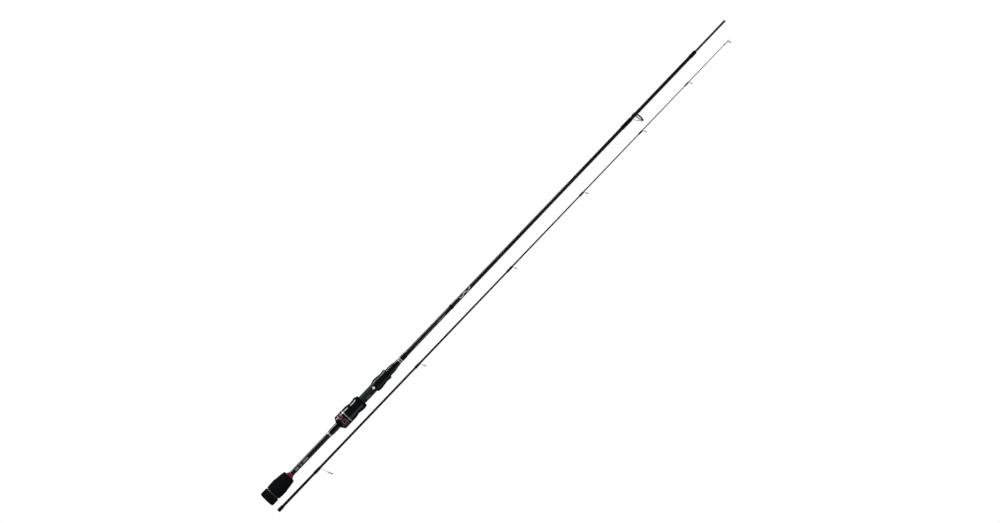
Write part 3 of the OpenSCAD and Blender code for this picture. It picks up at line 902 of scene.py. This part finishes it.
def first_window(node, section, count):
    """The turn where the first of a ring of evenly spaced windows starts."""
    turns = sorted(math.atan2(p.y, p.z) / math.tau % (1 / count) for p in local_points(node, section))
    gaps = [(b - a, b) for a, b in zip([turns[-1] - 1 / count, *turns], turns)]
    return max(gaps)[1]


def facing_out(station, turn):
    """Places a turned shape so that it stands out from the rod at a station and a turn."""
    angle = turn * math.tau
    x, y = Vector((0, math.sin(angle), math.cos(angle))), Vector((1, 0, 0))
    matrix = Matrix((x, y, x.cross(y))).transposed().to_4x4()
    matrix.translation = (station, 0, 0)
    return matrix


def onto_rod(station):
    """Turns what was made up Z so that it goes along the rod from a station, its X towards the guides."""
    turn = Matrix(((0, 0, 1, 0), (0, -1, 0, 0), (1, 0, 0, 0), (0, 0, 0, 1)))
    return Matrix.Translation((station * MM, 0, 0)) @ turn


def joined(name, *meshes):
    """One mesh of several, with each one's materials."""
    holders = [hold(mesh) for mesh in meshes]
    with bpy.context.temp_override(active_object=holders[0], selected_editable_objects=holders):
        bpy.ops.object.join()
    mesh = holders[0].data
    mesh.name = name
    bpy.data.objects.remove(holders[0])
    return mesh


def moulded(name, node, outer, inner=(), make=moulded_nylon, slot="moulding", section=BUTT,
            body="butt_section", **options):
    """A turned piece that stands for one CAD node."""
    shape = new_shape()
    turned(shape, outer, inner, **options)
    return put(name, to_mesh(shape, name, finish(make)), section, body, [node])


def winding(node, section, body):
    """A thread binding under varnish, in place of a CAD binding."""
    wrap, rod, margin = span(node, section), sizes(), 0.2
    threads = grown(winding_tree(), {
        "Length": (wrap.end - wrap.start - 2 * margin) * MM, "Rear Radius": (wrap.rear - rod.varnish) * MM,
        "Front Radius": (wrap.front - rod.varnish) * MM, "Thread Diameter": rod.winding_thread * MM,
        "Material": finish(nylon_thread)})
    threads.transform(onto_rod(wrap.start + margin))
    fade, shoulder, rim, wall = 0.9, 0.16, 0.42, 0.5
    outer = [(wrap.start, wrap.rear - rim), (wrap.start + fade / 3, wrap.rear - shoulder),
             (wrap.start + fade, wrap.rear), (wrap.end - fade, wrap.front),
             (wrap.end - fade / 3, wrap.front - shoulder), (wrap.end, wrap.front - rim)]
    skin = new_shape()
    turned(skin, smooth(outer, 3), [(wrap.start, wrap.rear - wall), (wrap.end, wrap.front - wall)], 48)
    name = node + "_winding"
    whole = joined(name, to_mesh(skin, name, finish(rod_varnish)), threads)
    put(name, whole, section, body, [node])


def hoop(shape, ring, radius):
    """The wire hoop round a ceramic ring, with rolled edges."""
    thickness, half = hoop_wire(radius)
    edge, inside = 0.4 * thickness, radius - thickness
    outline = rounded([
        (-half, inside, edge), (-half, radius, edge), (half, radius, edge), (half, inside, edge)])
    turned(shape, outline, segments=FINE, place=ring_place(ring))


def ring_place(ring):
    """Stands a turned shape on a guide's own axis."""
    return Matrix.Translation((ring.x, 0, ring.z)) @ Matrix.Rotation(ring.lean, 4, "Y")


def ceramic(node, section, body):
    """A guide's ceramic ring, rounded inside where the line runs."""
    ring = ring_of(node, section)
    wall, half = 0.3 + 0.17 * hoop_radius(ring.radius), ring.half_width
    bead = [(-half * math.cos(a), ring.radius - wall * (0.35 + 0.65 * math.sin(a)))
            for a in (math.pi * k / 12 for k in range(13))]
    moulded(node + "_ceramic", node, [*bead, (half, ring.radius), (-half, ring.radius)], (), polished_ceramic,
            "guide_ring", section, body, segments=FINE, place=ring_place(ring))


def guide_frame(number, section, body):
    """A guide's stamped frame: a foot on the blank, two legs and the hoop."""
    node = f"guide_{number}"
    wrap, ring = span(node + "_wrap", section), ring_of(node + "_ring", section)
    radius = hoop_radius(ring.radius)
    middle = radius - hoop_wire(radius)[0] / 2
    wrap_height, thin, leg = 0.5, 0.16, 0.24 + 0.034 * radius
    wide, leg_thin = min(0.65, 0.85 * (wrap.front - wrap_height)), 0.62 * leg
    heel = wrap.end + 0.8
    rear_z, heel_z = wrap.rear - wrap_height + thin, wrap.front - wrap_height + thin
    foot = [(wrap.start, 0, rear_z), (wrap.start + 1.5, 0, rear_z), (heel - 1, 0, heel_z),
            (heel + 0.3, 0, heel_z + 0.15)]
    shape = new_shape()
    wire(shape, foot, [(0, 0.3), (0.12, wide), (1, wide)], [(0, 0.06), (0.12, thin), (1, thin)])
    below = 0.17 * middle
    for side in (-1, 1):
        start, knee = (heel - 1.2, side * 0.2, heel_z), (heel + 0.4, side * 0.3, heel_z + 0.25)
        bend = ((heel + ring.x) / 2 - 0.5, side * 0.62 * radius, heel_z + 0.42 * (ring.z - heel_z))
        top = (ring.x - below * math.sin(ring.lean), side * 0.985 * middle,
               ring.z - below * math.cos(ring.lean))
        wire(shape, smooth([start, knee, bend, top], 8), [(0, leg), (1, leg)],
             [(0, thin), (0.2, leg_thin), (1, leg_thin)])
    hoop(shape, ring, radius)
    name = node + "_wire"
    put(name, to_mesh(shape, name, finish(stamped_steel)), section, body, [node + "_frame"])


# ---- operators, one for each piece or group of like pieces ----


class RodFoam(bpy.types.Operator):
    """Turns the foam cap and grip, and the grey spacer between them"""

    bl_idname = "rod.foam"
    bl_label = "Foam Cap and Grip"

    def execute(self, context):
        cap, spacer, grip = (span(node, BUTT) for node in ("butt_cap", "butt_spacer_ring", "rear_grip"))
        bore, wall_end = span("rear_collar", BUTT).rear, 4.0
        shell = rounded([
            (cap.start, 0), (cap.start, cap.largest, 2.5), (cap.end, cap.largest, 1.2), (cap.end, bore)], 8)
        hollow = [(wall_end, 0), (wall_end, bore)]
        piece = moulded("butt_cap_foam", "butt_cap", shell, hollow, eva_foam, "foam", segments=FINE)
        ring = tube(spacer.start, spacer.end, spacer.largest, bore, 0.3)
        moulded("butt_spacer_band", "butt_spacer_ring", ring, (), satin_grey_aluminium, "spacer",
                segments=FINE)
        start, end, top = grip.start, grip.end, grip.largest
        barrel = smooth([
            (start + 0.9, top - 0.4), (start + 7, top - 0.1), (start + 13.9, top), (end - 16, top - 0.65),
            (end - 8, top - 1.5), (end - 1.5, top - 2.6)])
        corner = [(start, top - 1.6), (start + 0.15, top - 0.95), (start + 0.45, top - 0.6)]
        nose = [(end - 0.7, top - 2.95), (end - 0.2, top - 3.6), (end, grip.front)]
        body = [(start, bore), *corner, *barrel, *nose]
        piece = moulded("rear_grip_foam", "rear_grip", body, [(end, bore)], eva_foam, "foam", segments=FINE)
        return {"FINISHED"}


class RodRings(bpy.types.Operator):
    """Turns the red check behind the split, the trim ring, the collar and the ring in front of the cone"""

    bl_idname = "rod.rings"
    bl_label = "Checks and Rings"

    def execute(self, context):
        check, trim, collar, front = (span(node, BUTT) for node in (
            "rear_grip_check", "rear_trim_ring", "rear_collar", "front_check_ring"))
        bore, edge, bevel = collar.rear - 0.05, sizes().edge, 0.15
        start, end, top = check.start, check.end, check.largest
        bell = [(start, bore), (start, top - bevel), (start + bevel, top),
                *smooth([(start + 0.8, top), (start + 2.3, 4.9), (end - 0.2, check.front + 0.05)]),
                (end, check.front - 0.05), (end, bore)]
        moulded("grip_check_red", "rear_grip_check", bell, (), red_anodised_aluminium, "red_anodised",
                segments=FINE)
        ring = tube(trim.start, trim.end, trim.largest, bore, 0.05)
        moulded("trim_ring_bright", "rear_trim_ring", ring, (), polished_aluminium, "polished_ring")
        start, end, throat, top = collar.start, collar.end, collar.rear, collar.front
        flare = smooth([(start + 0.3, throat + 0.02), (start + 1.8, throat + 0.15), (start + 3.8, top),
                        (start + 6, top), (end, top)])
        moulded("rear_collar_moulding", "rear_collar", [(start, bore), (start, throat), *flare, (end, bore)])
        start, end, top = front.start, front.end, front.largest
        land, groove, floor, bore = start + 1.8, end - 1.8, top - 0.35, top - 0.5
        shape = new_shape()
        turned(shape, [
            (start, bore), (start, top - bevel), (start + edge, top), (land - bevel, top),
            (land, top - bevel), (land, floor), (groove, floor), (groove, top - bevel),
            (groove + bevel, top), (end - edge, top), (end, top - bevel), (end, bore)], groove=(land, groove))
        mesh = to_mesh(shape, "front_ring_bright", finish(polished_aluminium), finish(black_enamel))
        put("front_ring_bright", mesh, BUTT, "butt_section", ["front_check_ring"])
        return {"FINISHED"}


class RodBlanks(bpy.types.Operator):
    """Rolls the two tapered blanks, and grinds the spigot that joins them"""

    bl_idname = "rod.blanks"
    bl_label = "Blanks and Spigot"

    def execute(self, context):
        wall, spigot = sizes().blank_wall, span("ferrule_spigot", BUTT)
        outside = taper("butt_blank", BUTT)
        bore = [(x, r - max(wall, 0.35 * r)) for x, r in outside]
        moulded("butt_blank_carbon", "butt_blank", outside, bore, printed_carbon, "blank")
        end, start, tip = outside[-1][0], spigot.start, spigot.end
        tenon, pin = min(r for _, r in bore) - 0.1, spigot.largest
        nose = smooth([(tip - 1.2, pin - 0.02), (tip - 0.4, pin - 0.22), (tip, pin - 0.6)])
        rod = [(start, 0), (start, tenon - 0.2), (start + 0.5, tenon), (end, tenon), (end, pin),
               (tip - 1.4, pin), *nose, (tip, 0)]
        moulded("spigot_carbon", "ferrule_spigot", rod, (), ground_carbon, "blank")
        outside = taper("tip_blank", TIP)
        socket = MOUNTS["ferrule_socket"]["dims"]
        reach, bore = socket["length_mm"], socket["r_mm"]
        tip, tip_r = outside[-1]
        shell = [(reach, 0), (reach, bore), (0.4, bore), (0, bore + 0.1), *outside[:-1], (tip - 0.3, tip_r),
                 (tip, tip_r - 0.15), (tip, 0)]
        moulded("tip_blank_carbon", "tip_blank", shell, (), sanded_carbon, "blank", TIP, "tip_section")
        return {"FINISHED"}


class RodSeat(bpy.types.Operator):
    """Moulds the threaded seat pipe and its ribbed front cone, and sets the badge in"""

    bl_idname = "rod.seat"
    bl_label = "Reel Seat"

    def execute(self, context):
        rod, pipe, cone = sizes(), span("seat_pipe", BUTT), span("front_cone", BUTT)
        bore, bed = span("rear_collar", BUTT).front, bed_height()
        crest, plain = pipe.largest, pipe.front
        root, pitch, turns = crest - rod.thread_depth, rod.thread_pitch, 12
        thread_end = pipe.start + pitch * turns + 0.7
        bed_end = pipe.end - 6
        flank, land, lead_in, bed_side = 7.2, 2.6, 0.8, 0.3

        def cut(x, r, turn):
            """The helical thread, and the flat that the reel's foot lies on."""
            if x < thread_end:
                phase = ((x - pipe.start) / pitch - turn) % 1
                crown = min(1, max(0, land - flank * abs(phase - 0.5)))
                fade = min(1, (thread_end - x) / pitch, (x - pipe.start) / lead_in)
                r = root + (crest - root) * crown * max(0, fade)
            upward = math.cos(turn * math.tau)
            return min(r, bed / upward) if upward > bed_side and x < bed_end else r

        steps = stations(pipe.start, thread_end - 0.1, pitch / 10)
        outer = [*[(x, root) for x in steps], (thread_end, root), (thread_end + 0.4, plain),
                 (bed_end - 0.05, plain), (bed_end, plain), (pipe.end, plain)]
        shape = new_shape()
        turned(shape, outer, [(pipe.start, bore), (pipe.end, bore)], FINEST, cut)
        (low, wide), turn = badge_place()
        seat, play, above = new_shape(), 0.03, 9
        turned(seat, [(low, 0), (low, wide + play), (above, wide + play), (above, 0)], place=turn)
        mesh = carved(to_mesh(shape, "seat_pipe_threaded", finish(printed_nylon)), seat)
        put("seat_pipe_threaded", mesh, BUTT, "butt_section", ["seat_pipe"])

        start, end, top = cone.start, cone.end, cone.largest
        step = start + 15.2
        body = [
            (start, bore - 0.6),
            *smooth([
                (start, top - 0.4), (start + 7.6, top - 0.4), (start + 8.6, top - 0.3), (step, top - 1.1)]),
            (step + 0.2, top - 1.4),
            *smooth([(step + 0.4, top - 1.42), (start + 19, top - 1.75), (end - 0.3, cone.front + 0.05)]),
            (end, cone.front - 0.1), (end, cone.front - 0.45)]
        shape = new_shape()
        turned(shape, body, segments=FINE)
        rib_pitch, rib_thickness, first_rib = 1.7, 0.95, 0.65
        ribs = grown(rib_tree(), {
            "Count": rod.cone_ribs, "Pitch": rib_pitch * MM, "Radius": top * MM,
            "Thickness": rib_thickness * MM, "Material": finish(moulded_nylon)})
        ribs.transform(onto_rod(start + first_rib))
        mesh = joined("front_cone_ribbed", to_mesh(shape, "front_cone_ribbed", finish(moulded_nylon)), ribs)
        put("front_cone_ribbed", mesh, BUTT, "butt_section", ["front_cone"])

        dot = 0.66 * wide
        rim = [(low, dot), (low, wide), (low + 0.7, wide), (low + 0.9, wide - 0.2), (low + 0.93, wide - 0.5),
               (low + 0.8, dot + 0.3), (low + 0.8, dot)]
        moulded("seat_badge_boss", "seat_badge", rim, place=turn)
        dot -= 0.02
        pearl = [(low, 0), (low, dot), (low + 0.9, dot), (low + 1.02, dot - 0.28), (low + 1.1, 0)]
        moulded("seat_badge_pearl", "seat_badge_dot", pearl, (), pearl_enamel, "badge_dot", place=turn)
        arbors = frame["nodes"]["seat_arbors"].data.materials
        arbors.clear()
        arbors.append(finish(hardened_filler))
        return {"FINISHED"}


def bed_height():
    """How far the flat bed is from the rod's axis."""
    bed = BUTT.inverted() @ Vector(MOUNTS["reel_bed"]["pos_m"])
    return bed.z / MM


def badge_place():
    """The badge's (foot, radius) from the rod's axis, and the matrix that stands a turned shape there."""
    points = local_points("seat_badge", BUTT)
    turn = turn_of("seat_badge", BUTT)
    out = Vector((0, math.sin(turn * math.tau), math.cos(turn * math.tau)))
    station = (min(p.x for p in points) + max(p.x for p in points)) / 2
    radius = (max(p.x for p in points) - min(p.x for p in points)) / 2
    return (min(out.dot(p) for p in points), radius), facing_out(station, turn)


class RodHoods(bpy.types.Operator):
    """Moulds the fixed and the sliding hood, carves their pockets and lays a pad in each"""

    bl_idname = "rod.hoods"
    bl_label = "Hoods"

    def execute(self, context):
        blend, bed = sizes().hood_blend, bed_height()
        floor, play, flare = bed - 0.02, 0.03, 0.2
        fixed, sliding = span("fixed_hood", BUTT), span("sliding_hood", BUTT)
        pipe_r = span("seat_pipe", BUTT).front

        x, end, offset, roof_r = fixed.start, fixed.end, 5, 7.6
        barrel = smooth([
            (x, 6.9), (x + 3, 8), (x + 7.5, 8.8), (x + 13, 8.3), (x + 19.5, 7.6), (x + 25, 8.1), (end, 8.1)])
        roof = smooth([(x, 6.9), (x + 4, roof_r), (x + 11, 7.3), (x + 20, 4.6), (x + 24, 2.4)])
        shape = new_shape()
        turned(shape, barrel, [(x, pipe_r), (end, pipe_r)], FINEST, roofed(roof, offset, blend))
        wall, mouth, depth, pad = 0.9, 4, 15.8, 1.5

        def inside(station):
            """Radius of the pocket's roof, one wall inside the hood's own and never past its highest."""
            return min(roof_r, lookup(station, roof)) - wall

        hollow = new_shape()
        steps = [x - 1, *stations(x + mouth, x + depth, 1)]
        loft(hollow, [pocket(s, offset, inside(max(s, x + mouth)), floor) for s in steps])
        (low, wide), turn = badge_place()
        seat, above = new_shape(), 12
        turned(seat, [(low, 0), (low, wide + play), (above, wide + flare), (above, 0)], place=turn)
        mesh = carved(to_mesh(shape, "fixed_hood_shell", finish(soft_gloss_nylon)), hollow, seat)
        put("fixed_hood_shell", mesh, BUTT, "butt_section", ["fixed_hood"])
        rings = [pocket(s, offset, inside(s) - k, bed + k) for s, k in (
            (x + depth - pad, 0.35), (x + depth - pad + 0.2, 0.05), (x + depth, 0.05))]
        self.lay("fixed_hood_pad", "fixed_hood_cushion", rings, "butt_section")

        x, end, offset, roof_r = sliding.start, sliding.end, 3, 10.1
        neck, flange, bore, lip, plain = 9.28, 9.9, 7.85, 8.8, pipe_r + 0.3
        barrel = [(x, 10.9), (x + 0.15, 11.15), *smooth([
            (x + 0.4, 11.3), (x + 8, 11.1), (x + 15, 9.8), (x + 21.5, 10.5), (x + 24.5, 10.85),
            (end - 2, 9.5), (end - 0.2, 7.9)]), (end, 7.4)]
        inner = [(x, neck), (x + 0.6, neck), (x + 0.6, flange), (x + 2.4, flange), (x + 2.4, bore),
                 (end - lip, bore), (end - lip, plain), (end, plain)]
        roof = smooth([(x + 11, 4), (x + 16, 8.9), (x + 20, roof_r), (end - 4, roof_r), (end, 9.5)])
        shape = new_shape()
        turned(shape, barrel, inner, FINEST, roofed(roof, offset, blend))
        wall, start = 1.1, x + 15
        hollow = new_shape()
        mouth = [(end - 4, 0), (end - 1, 0.3), (end + 0.1, 0.6), (end + 1, 0.8)]
        loft(hollow, [pocket(s, offset, inside(s) + k, floor) for s, k in (
            *((s, 0) for s in stations(start, x + 20, 1)), *mouth)])
        mesh = carved(to_mesh(shape, "sliding_hood_shell", finish(moulded_nylon)), hollow)
        key, half, foot, crown = new_shape(), 1.5, bed + 0.3, bore + 0.6
        loft(key, [[(s, half, foot), (s, half, crown), (s, -half, crown), (s, -half, foot)]
                   for s in (x + 3.5, x + 10)])
        mesh = joined("sliding_hood_shell", mesh, to_mesh(key, "key", finish(moulded_nylon)))
        put("sliding_hood_shell", mesh, BUTT, "hood", ["sliding_hood"])
        rings = [crescent(s, offset, inside(s) - k, bore + k) for s, k in (
            (start, 0.05), (start + pad - 0.2, 0.05), (start + pad, 0.3))]
        self.lay("sliding_hood_pad", "sliding_hood_cushion", rings, "hood")
        return {"FINISHED"}

    def lay(self, name, node, rings, body):
        """Makes a rubber pad through rings of points."""
        shape = new_shape()
        loft(shape, rings)
        piece = put(name, to_mesh(shape, name, finish(pad_rubber)), BUTT, body, [node])


def crescent(x, offset, radius, bore, steps=20):
    """The outline at a station of what lies between a bore and a round roof outside it."""
    corner = (offset**2 + bore**2 - radius**2) / (2 * offset)
    reach = math.acos(max(-1, min(1, corner / bore)))
    widest = math.atan2(bore * math.sin(reach), corner - offset)
    roof = [widest * (2 * i / steps - 1) for i in range(steps + 1)]
    floor = [reach * (1 - 2 * i / steps) for i in range(1, steps)]
    return [*[(x, radius * math.sin(a), offset + radius * math.cos(a)) for a in roof],
            *[(x, bore * math.sin(a), bore * math.cos(a)) for a in floor]]


class RodNut(bpy.types.Operator):
    """Moulds the lock nut, and sets the red windows and the bright ring on it"""

    bl_idname = "rod.nut"
    bl_label = "Lock Nut"

    def execute(self, context):
        rod = sizes()
        nut, band, inlays = (span(node, BUTT) for node in ("lock_nut", "lock_nut_ring", "lock_nut_inlays"))
        top, neck, flange, floor, tail = nut.largest, 9.2, 9.6, 10.4, 6.1
        count, width = rod.windows, WINDOW_TURN
        opening = first_window("lock_nut_inlays", BUTT, count)
        slack, rim = 1e-6, 0.01

        def windows(x, r, turn):
            """Shallow windows round the nut."""
            inside = (turn - opening + slack) % (1 / count) < width + 2 * slack
            return floor if inside and inlays.start + rim < x < inlays.end - rim and r > floor else r

        x, step = nut.start, band.end + 1.2
        shoulder = [(x, tail - 0.3), (x + 0.3, tail), *smooth([
            (x + 0.5, tail + 0.3), (x + 3.3, top - 0.6), (x + 4.1, top - 0.08), (x + 5, top)], 4)]
        outer = [*shoulder, (inlays.start, top), (inlays.start + 0.2, top), (inlays.end - 0.2, top),
                 (inlays.end, top), (band.start, top), (band.start, neck), (step, neck), (step, flange),
                 (nut.end, flange)]
        bore, tail_bore = 7.58, 5.2
        inner = [(x, tail_bore), (x + 1.6, tail_bore), (x + 1.6, bore), (nut.end, bore)]
        moulded("lock_nut_body", "lock_nut", outer, inner, body="nut", segments=24 * count, reshape=windows)
        ring = tube(band.start, band.end, band.largest, neck, 0.2)
        moulded("lock_nut_band", "lock_nut_ring", ring, (), polished_aluminium, "polished_ring", body="nut",
                segments=FINEST)

        shape, steps, rings = new_shape(), 14, []
        for share in (i / steps for i in range(steps + 1)):
            angle = (opening + width * share) * math.tau
            drop = 0.3 * abs(2 * share - 1) ** 6
            profile = inlay_profile(inlays.start, inlays.end, floor, inlays.largest - drop)
            rings.append([(x, r * math.sin(angle), r * math.cos(angle)) for x, r in profile])
        loft(shape, rings)
        # The windows' pale pink borders are a painted highlight, set in their material.
        one = to_mesh(shape, "lock_nut_windows", finish(cut_red_aluminium))
        mesh = grown(ring_tree(), {"Count": count, "Material": finish(cut_red_aluminium)}, one)
        put("lock_nut_windows", mesh, BUTT, "nut", ["lock_nut_inlays"])
        return {"FINISHED"}


def inlay_profile(start, end, floor, crown):
    """A red window's outline along the rod: two low ridges with a waist between them."""
    ridge, waist, middle = crown - 0.04, crown - 0.3, (start + end) / 2
    half = smooth([(start, floor + 0.2), (start + 0.12, ridge - 0.12), (start + 0.5, ridge),
                   (start + 1.4, crown), (start + 2.2, ridge - 0.05), (middle, waist)], 3)
    return [(start, floor), *half, *[(start + end - x, r) for x, r in reversed(half[:-1])], (end, floor)]


class RodWindings(bpy.types.Operator):
    """Winds the thread bindings side by side round the blanks, and varnishes them"""

    bl_idname = "rod.windings"
    bl_label = "Thread Windings"

    def execute(self, context):
        for node in ("butt_wrap", "trim_wrap", "ferrule_wrap", "guide_1_wrap"):
            winding(node, BUTT, "butt_section")
        for node in ("socket_wrap", "tip_top_wrap", *[f"guide_{i}_wrap" for i in SMALL_GUIDES]):
            winding(node, TIP, "tip_section")
        return {"FINISHED"}


class RodGuides(bpy.types.Operator):
    """Stamps the seven line guides' frames and sets a ceramic ring in each"""

    bl_idname = "rod.guides"
    bl_label = "Line Guides"

    def execute(self, context):
        guide_frame(1, BUTT, "butt_section")
        ceramic("guide_1_ring", BUTT, "butt_section")
        for number in SMALL_GUIDES:
            guide_frame(number, TIP, "tip_section")
            ceramic(f"guide_{number}_ring", TIP, "tip_section")
        return {"FINISHED"}


class RodTipTop(bpy.types.Operator):
    """Caps the tip with its tube, two struts and the last ring"""

    bl_idname = "rod.tip_top"
    bl_label = "Tip Top"

    def execute(self, context):
        wrap, blank = span("tip_top_wrap", TIP), span("tip_blank", TIP)
        ring = ring_of("tip_top_ring", TIP)
        radius, tube_r, strut_wide, strut_thin = hoop_radius(ring.radius), 0.8, 0.3, 0.24
        start, end = wrap.end, blank.end + 0.6
        middle = radius - hoop_wire(radius)[0] / 2
        shape = new_shape()
        cap = rounded([(start, blank.front), (start, tube_r, 0.15), (end, tube_r, 0.3), (end, 0.1)])
        turned(shape, [(start, 0), *cap, (end, 0)])
        for side in (-1, 1):
            path = smooth([(start + 1.4, side * 0.45, 0.3), (start + 2.6, side * 0.75, 0.6),
                           (ring.x, side * 0.95 * middle, ring.z)], 8)
            wire(shape, path, [(0, strut_wide), (1, strut_wide)], [(0, strut_thin), (1, strut_thin)])
        hoop(shape, ring, radius)
        mesh = to_mesh(shape, "tip_top_wire", finish(stamped_steel))
        put("tip_top_wire", mesh, TIP, "tip_section", ["tip_top_frame"])
        ceramic("tip_top_ring", TIP, "tip_section")
        return {"FINISHED"}


class RodStage(bpy.types.Operator):
    """Lays the pale floor, and sets up the camera and the soft lights"""

    bl_idname = "rod.stage"
    bl_label = "Stage"

    def execute(self, context):
        studio = context.scene.rod_studio
        low, high = (Vector(corner) for corner in CAD_BOX)
        self.lay_floor(context, low.z)
        self.aim(context, studio, (low + high) / 2)
        self.panel("softbox", studio.softbox, (2.4, 0.6), math.radians(86), 0, -1.05)
        self.panel("fill_panel", studio.fill, (4.2, 2.0), math.radians(66), math.pi, 0)
        top = self.panel("top_light", studio.top_light, (4.2, 2.6), 0, 0, 0)
        bounce = self.panel("floor_bounce", studio.bounce, (4.2, 2.6), math.pi, 0, 0)
        top.visible_glossy = bounce.visible_glossy = False
        self.room(context, studio)
        context.scene.view_settings.view_transform = "Standard"
        return {"FINISHED"}

    def lay_floor(self, context, level):
        """A sheet of paper wider than the view. It lights nothing and takes no part in reflections."""
        half = 6.0
        shape = bmesh.new()
        corners = ((-half, -half), (half, -half), (half, half), (-half, half))
        shape.faces.new([shape.verts.new((*corner, level)) for corner in corners])
        mesh = bpy.data.meshes.new("floor")
        shape.to_mesh(mesh)
        shape.free()
        mesh.materials.append(finish(pale_paper))
        floor = bpy.data.objects.new("floor", mesh)
        context.scene.collection.objects.link(floor)
        floor.visible_diffuse = floor.visible_glossy = floor.visible_shadow = False

    def aim(self, context, studio, middle):
        """A long lens looking straight down, a little off the middle."""
        sensor, aside = 36, Vector((0.0038, 0.0101, 0))
        data = bpy.data.cameras.new("camera")
        data.lens, data.sensor_width, data.clip_end = studio.lens, sensor, 50
        camera = bpy.data.objects.new("camera", data)
        height = studio.view_width * studio.lens / sensor
        camera.location = middle + aside + Vector((0, 0, height))
        camera.rotation_euler = (0, 0, studio.view_turn)
        context.scene.collection.objects.link(camera)
        context.scene.camera = camera

    def panel(self, name, radiance, size, tilt, turn, station):
        """A soft panel whose long side lies along X, about a station, tilted from overhead towards Y and
        then turned about the vertical. The camera doesn't see it."""
        distance = 3.0
        data = bpy.data.lights.new(name, "AREA")
        data.shape, data.size, data.size_y = "RECTANGLE", *size
        data.energy = radiance * math.pi * size[0] * size[1]
        lamp = bpy.data.objects.new(name, data)
        place = Matrix.Rotation(turn, 4, "Z") @ Matrix.Rotation(-tilt, 4, "X")
        lamp.matrix_world = place @ Matrix.Translation((station, 0, distance))
        lamp.visible_camera = False
        bpy.context.scene.collection.objects.link(lamp)
        return lamp

    def room(self, context, studio):
        """Dim light from all round, with a white backdrop behind the floor's edge."""
        world = bpy.data.worlds.new("room")
        world.use_nodes = True
        tree = world.node_tree
        tree.nodes.clear()
        white = hex_colour("#ffffff")
        dim = add(tree, "ShaderNodeBackground", {"Color": white, "Strength": studio.room})
        backdrop = add(tree, "ShaderNodeBackground", {"Color": white, "Strength": 1.0})
        path = add(tree, "ShaderNodeLightPath")
        mixed = add(tree, "ShaderNodeMixShader", {0: path.outputs["Is Camera Ray"], 1: dim, 2: backdrop})
        add(tree, "ShaderNodeOutputWorld", {"Surface": mixed})
        context.scene.world = world


def pale_paper(tree, shader, place):
    """Seamless white paper with a faint tooth. Most of its white is its own light, so it stays even."""
    tooth_size = 1.5
    tooth = add(tree, "ShaderNodeTexNoise", {"Vector": place, "Scale": per_mm(tooth_size), "Detail": 2.0})
    grained(tree, shader, tooth, hex_colour("#3c3c3c"), hex_colour("#404040"), {
        "Roughness": 0.9, "Specular IOR Level": 0.1, "Emission Color": hex_colour("#ffffff"),
        "Emission Strength": 0.96})


OPERATORS = (
    RodStage, RodFoam, RodRings, RodBlanks, RodSeat, RodHoods, RodNut, RodWindings, RodGuides, RodTipTop)
GROUPS = {"rod_sizes": RodSizes, "rod_colours": RodColours, "rod_studio": RodStudio}


class RodPanel(bpy.types.Panel):
    """Lists the rod's sizes, colours and pieces"""

    bl_idname = "VIEW3D_PT_rod"
    bl_label = "Spinning Rod"
    bl_space_type = "VIEW_3D"
    bl_region_type = "UI"
    bl_category = "Rod"

    def draw(self, context):
        for group, kind in GROUPS.items():
            box = self.layout.box()
            for key in kind.__annotations__:
                box.prop(getattr(context.scene, group), key)
        for operator in OPERATORS:
            self.layout.operator(operator.bl_idname)


def register():
    for kind in (*GROUPS.values(), *OPERATORS, RodPanel):
        bpy.utils.register_class(kind)
    for group, kind in GROUPS.items():
        setattr(bpy.types.Scene, group, PointerProperty(type=kind))


def unregister():
    for group in GROUPS:
        delattr(bpy.types.Scene, group)
    for kind in (RodPanel, *reversed(OPERATORS), *reversed(list(GROUPS.values()))):
        bpy.utils.unregister_class(kind)


def main():
    register()
    for operator in OPERATORS:
        group, name = operator.bl_idname.split(".")
        getattr(getattr(bpy.ops, group), name)()


if __name__ == "__main__":
    main()
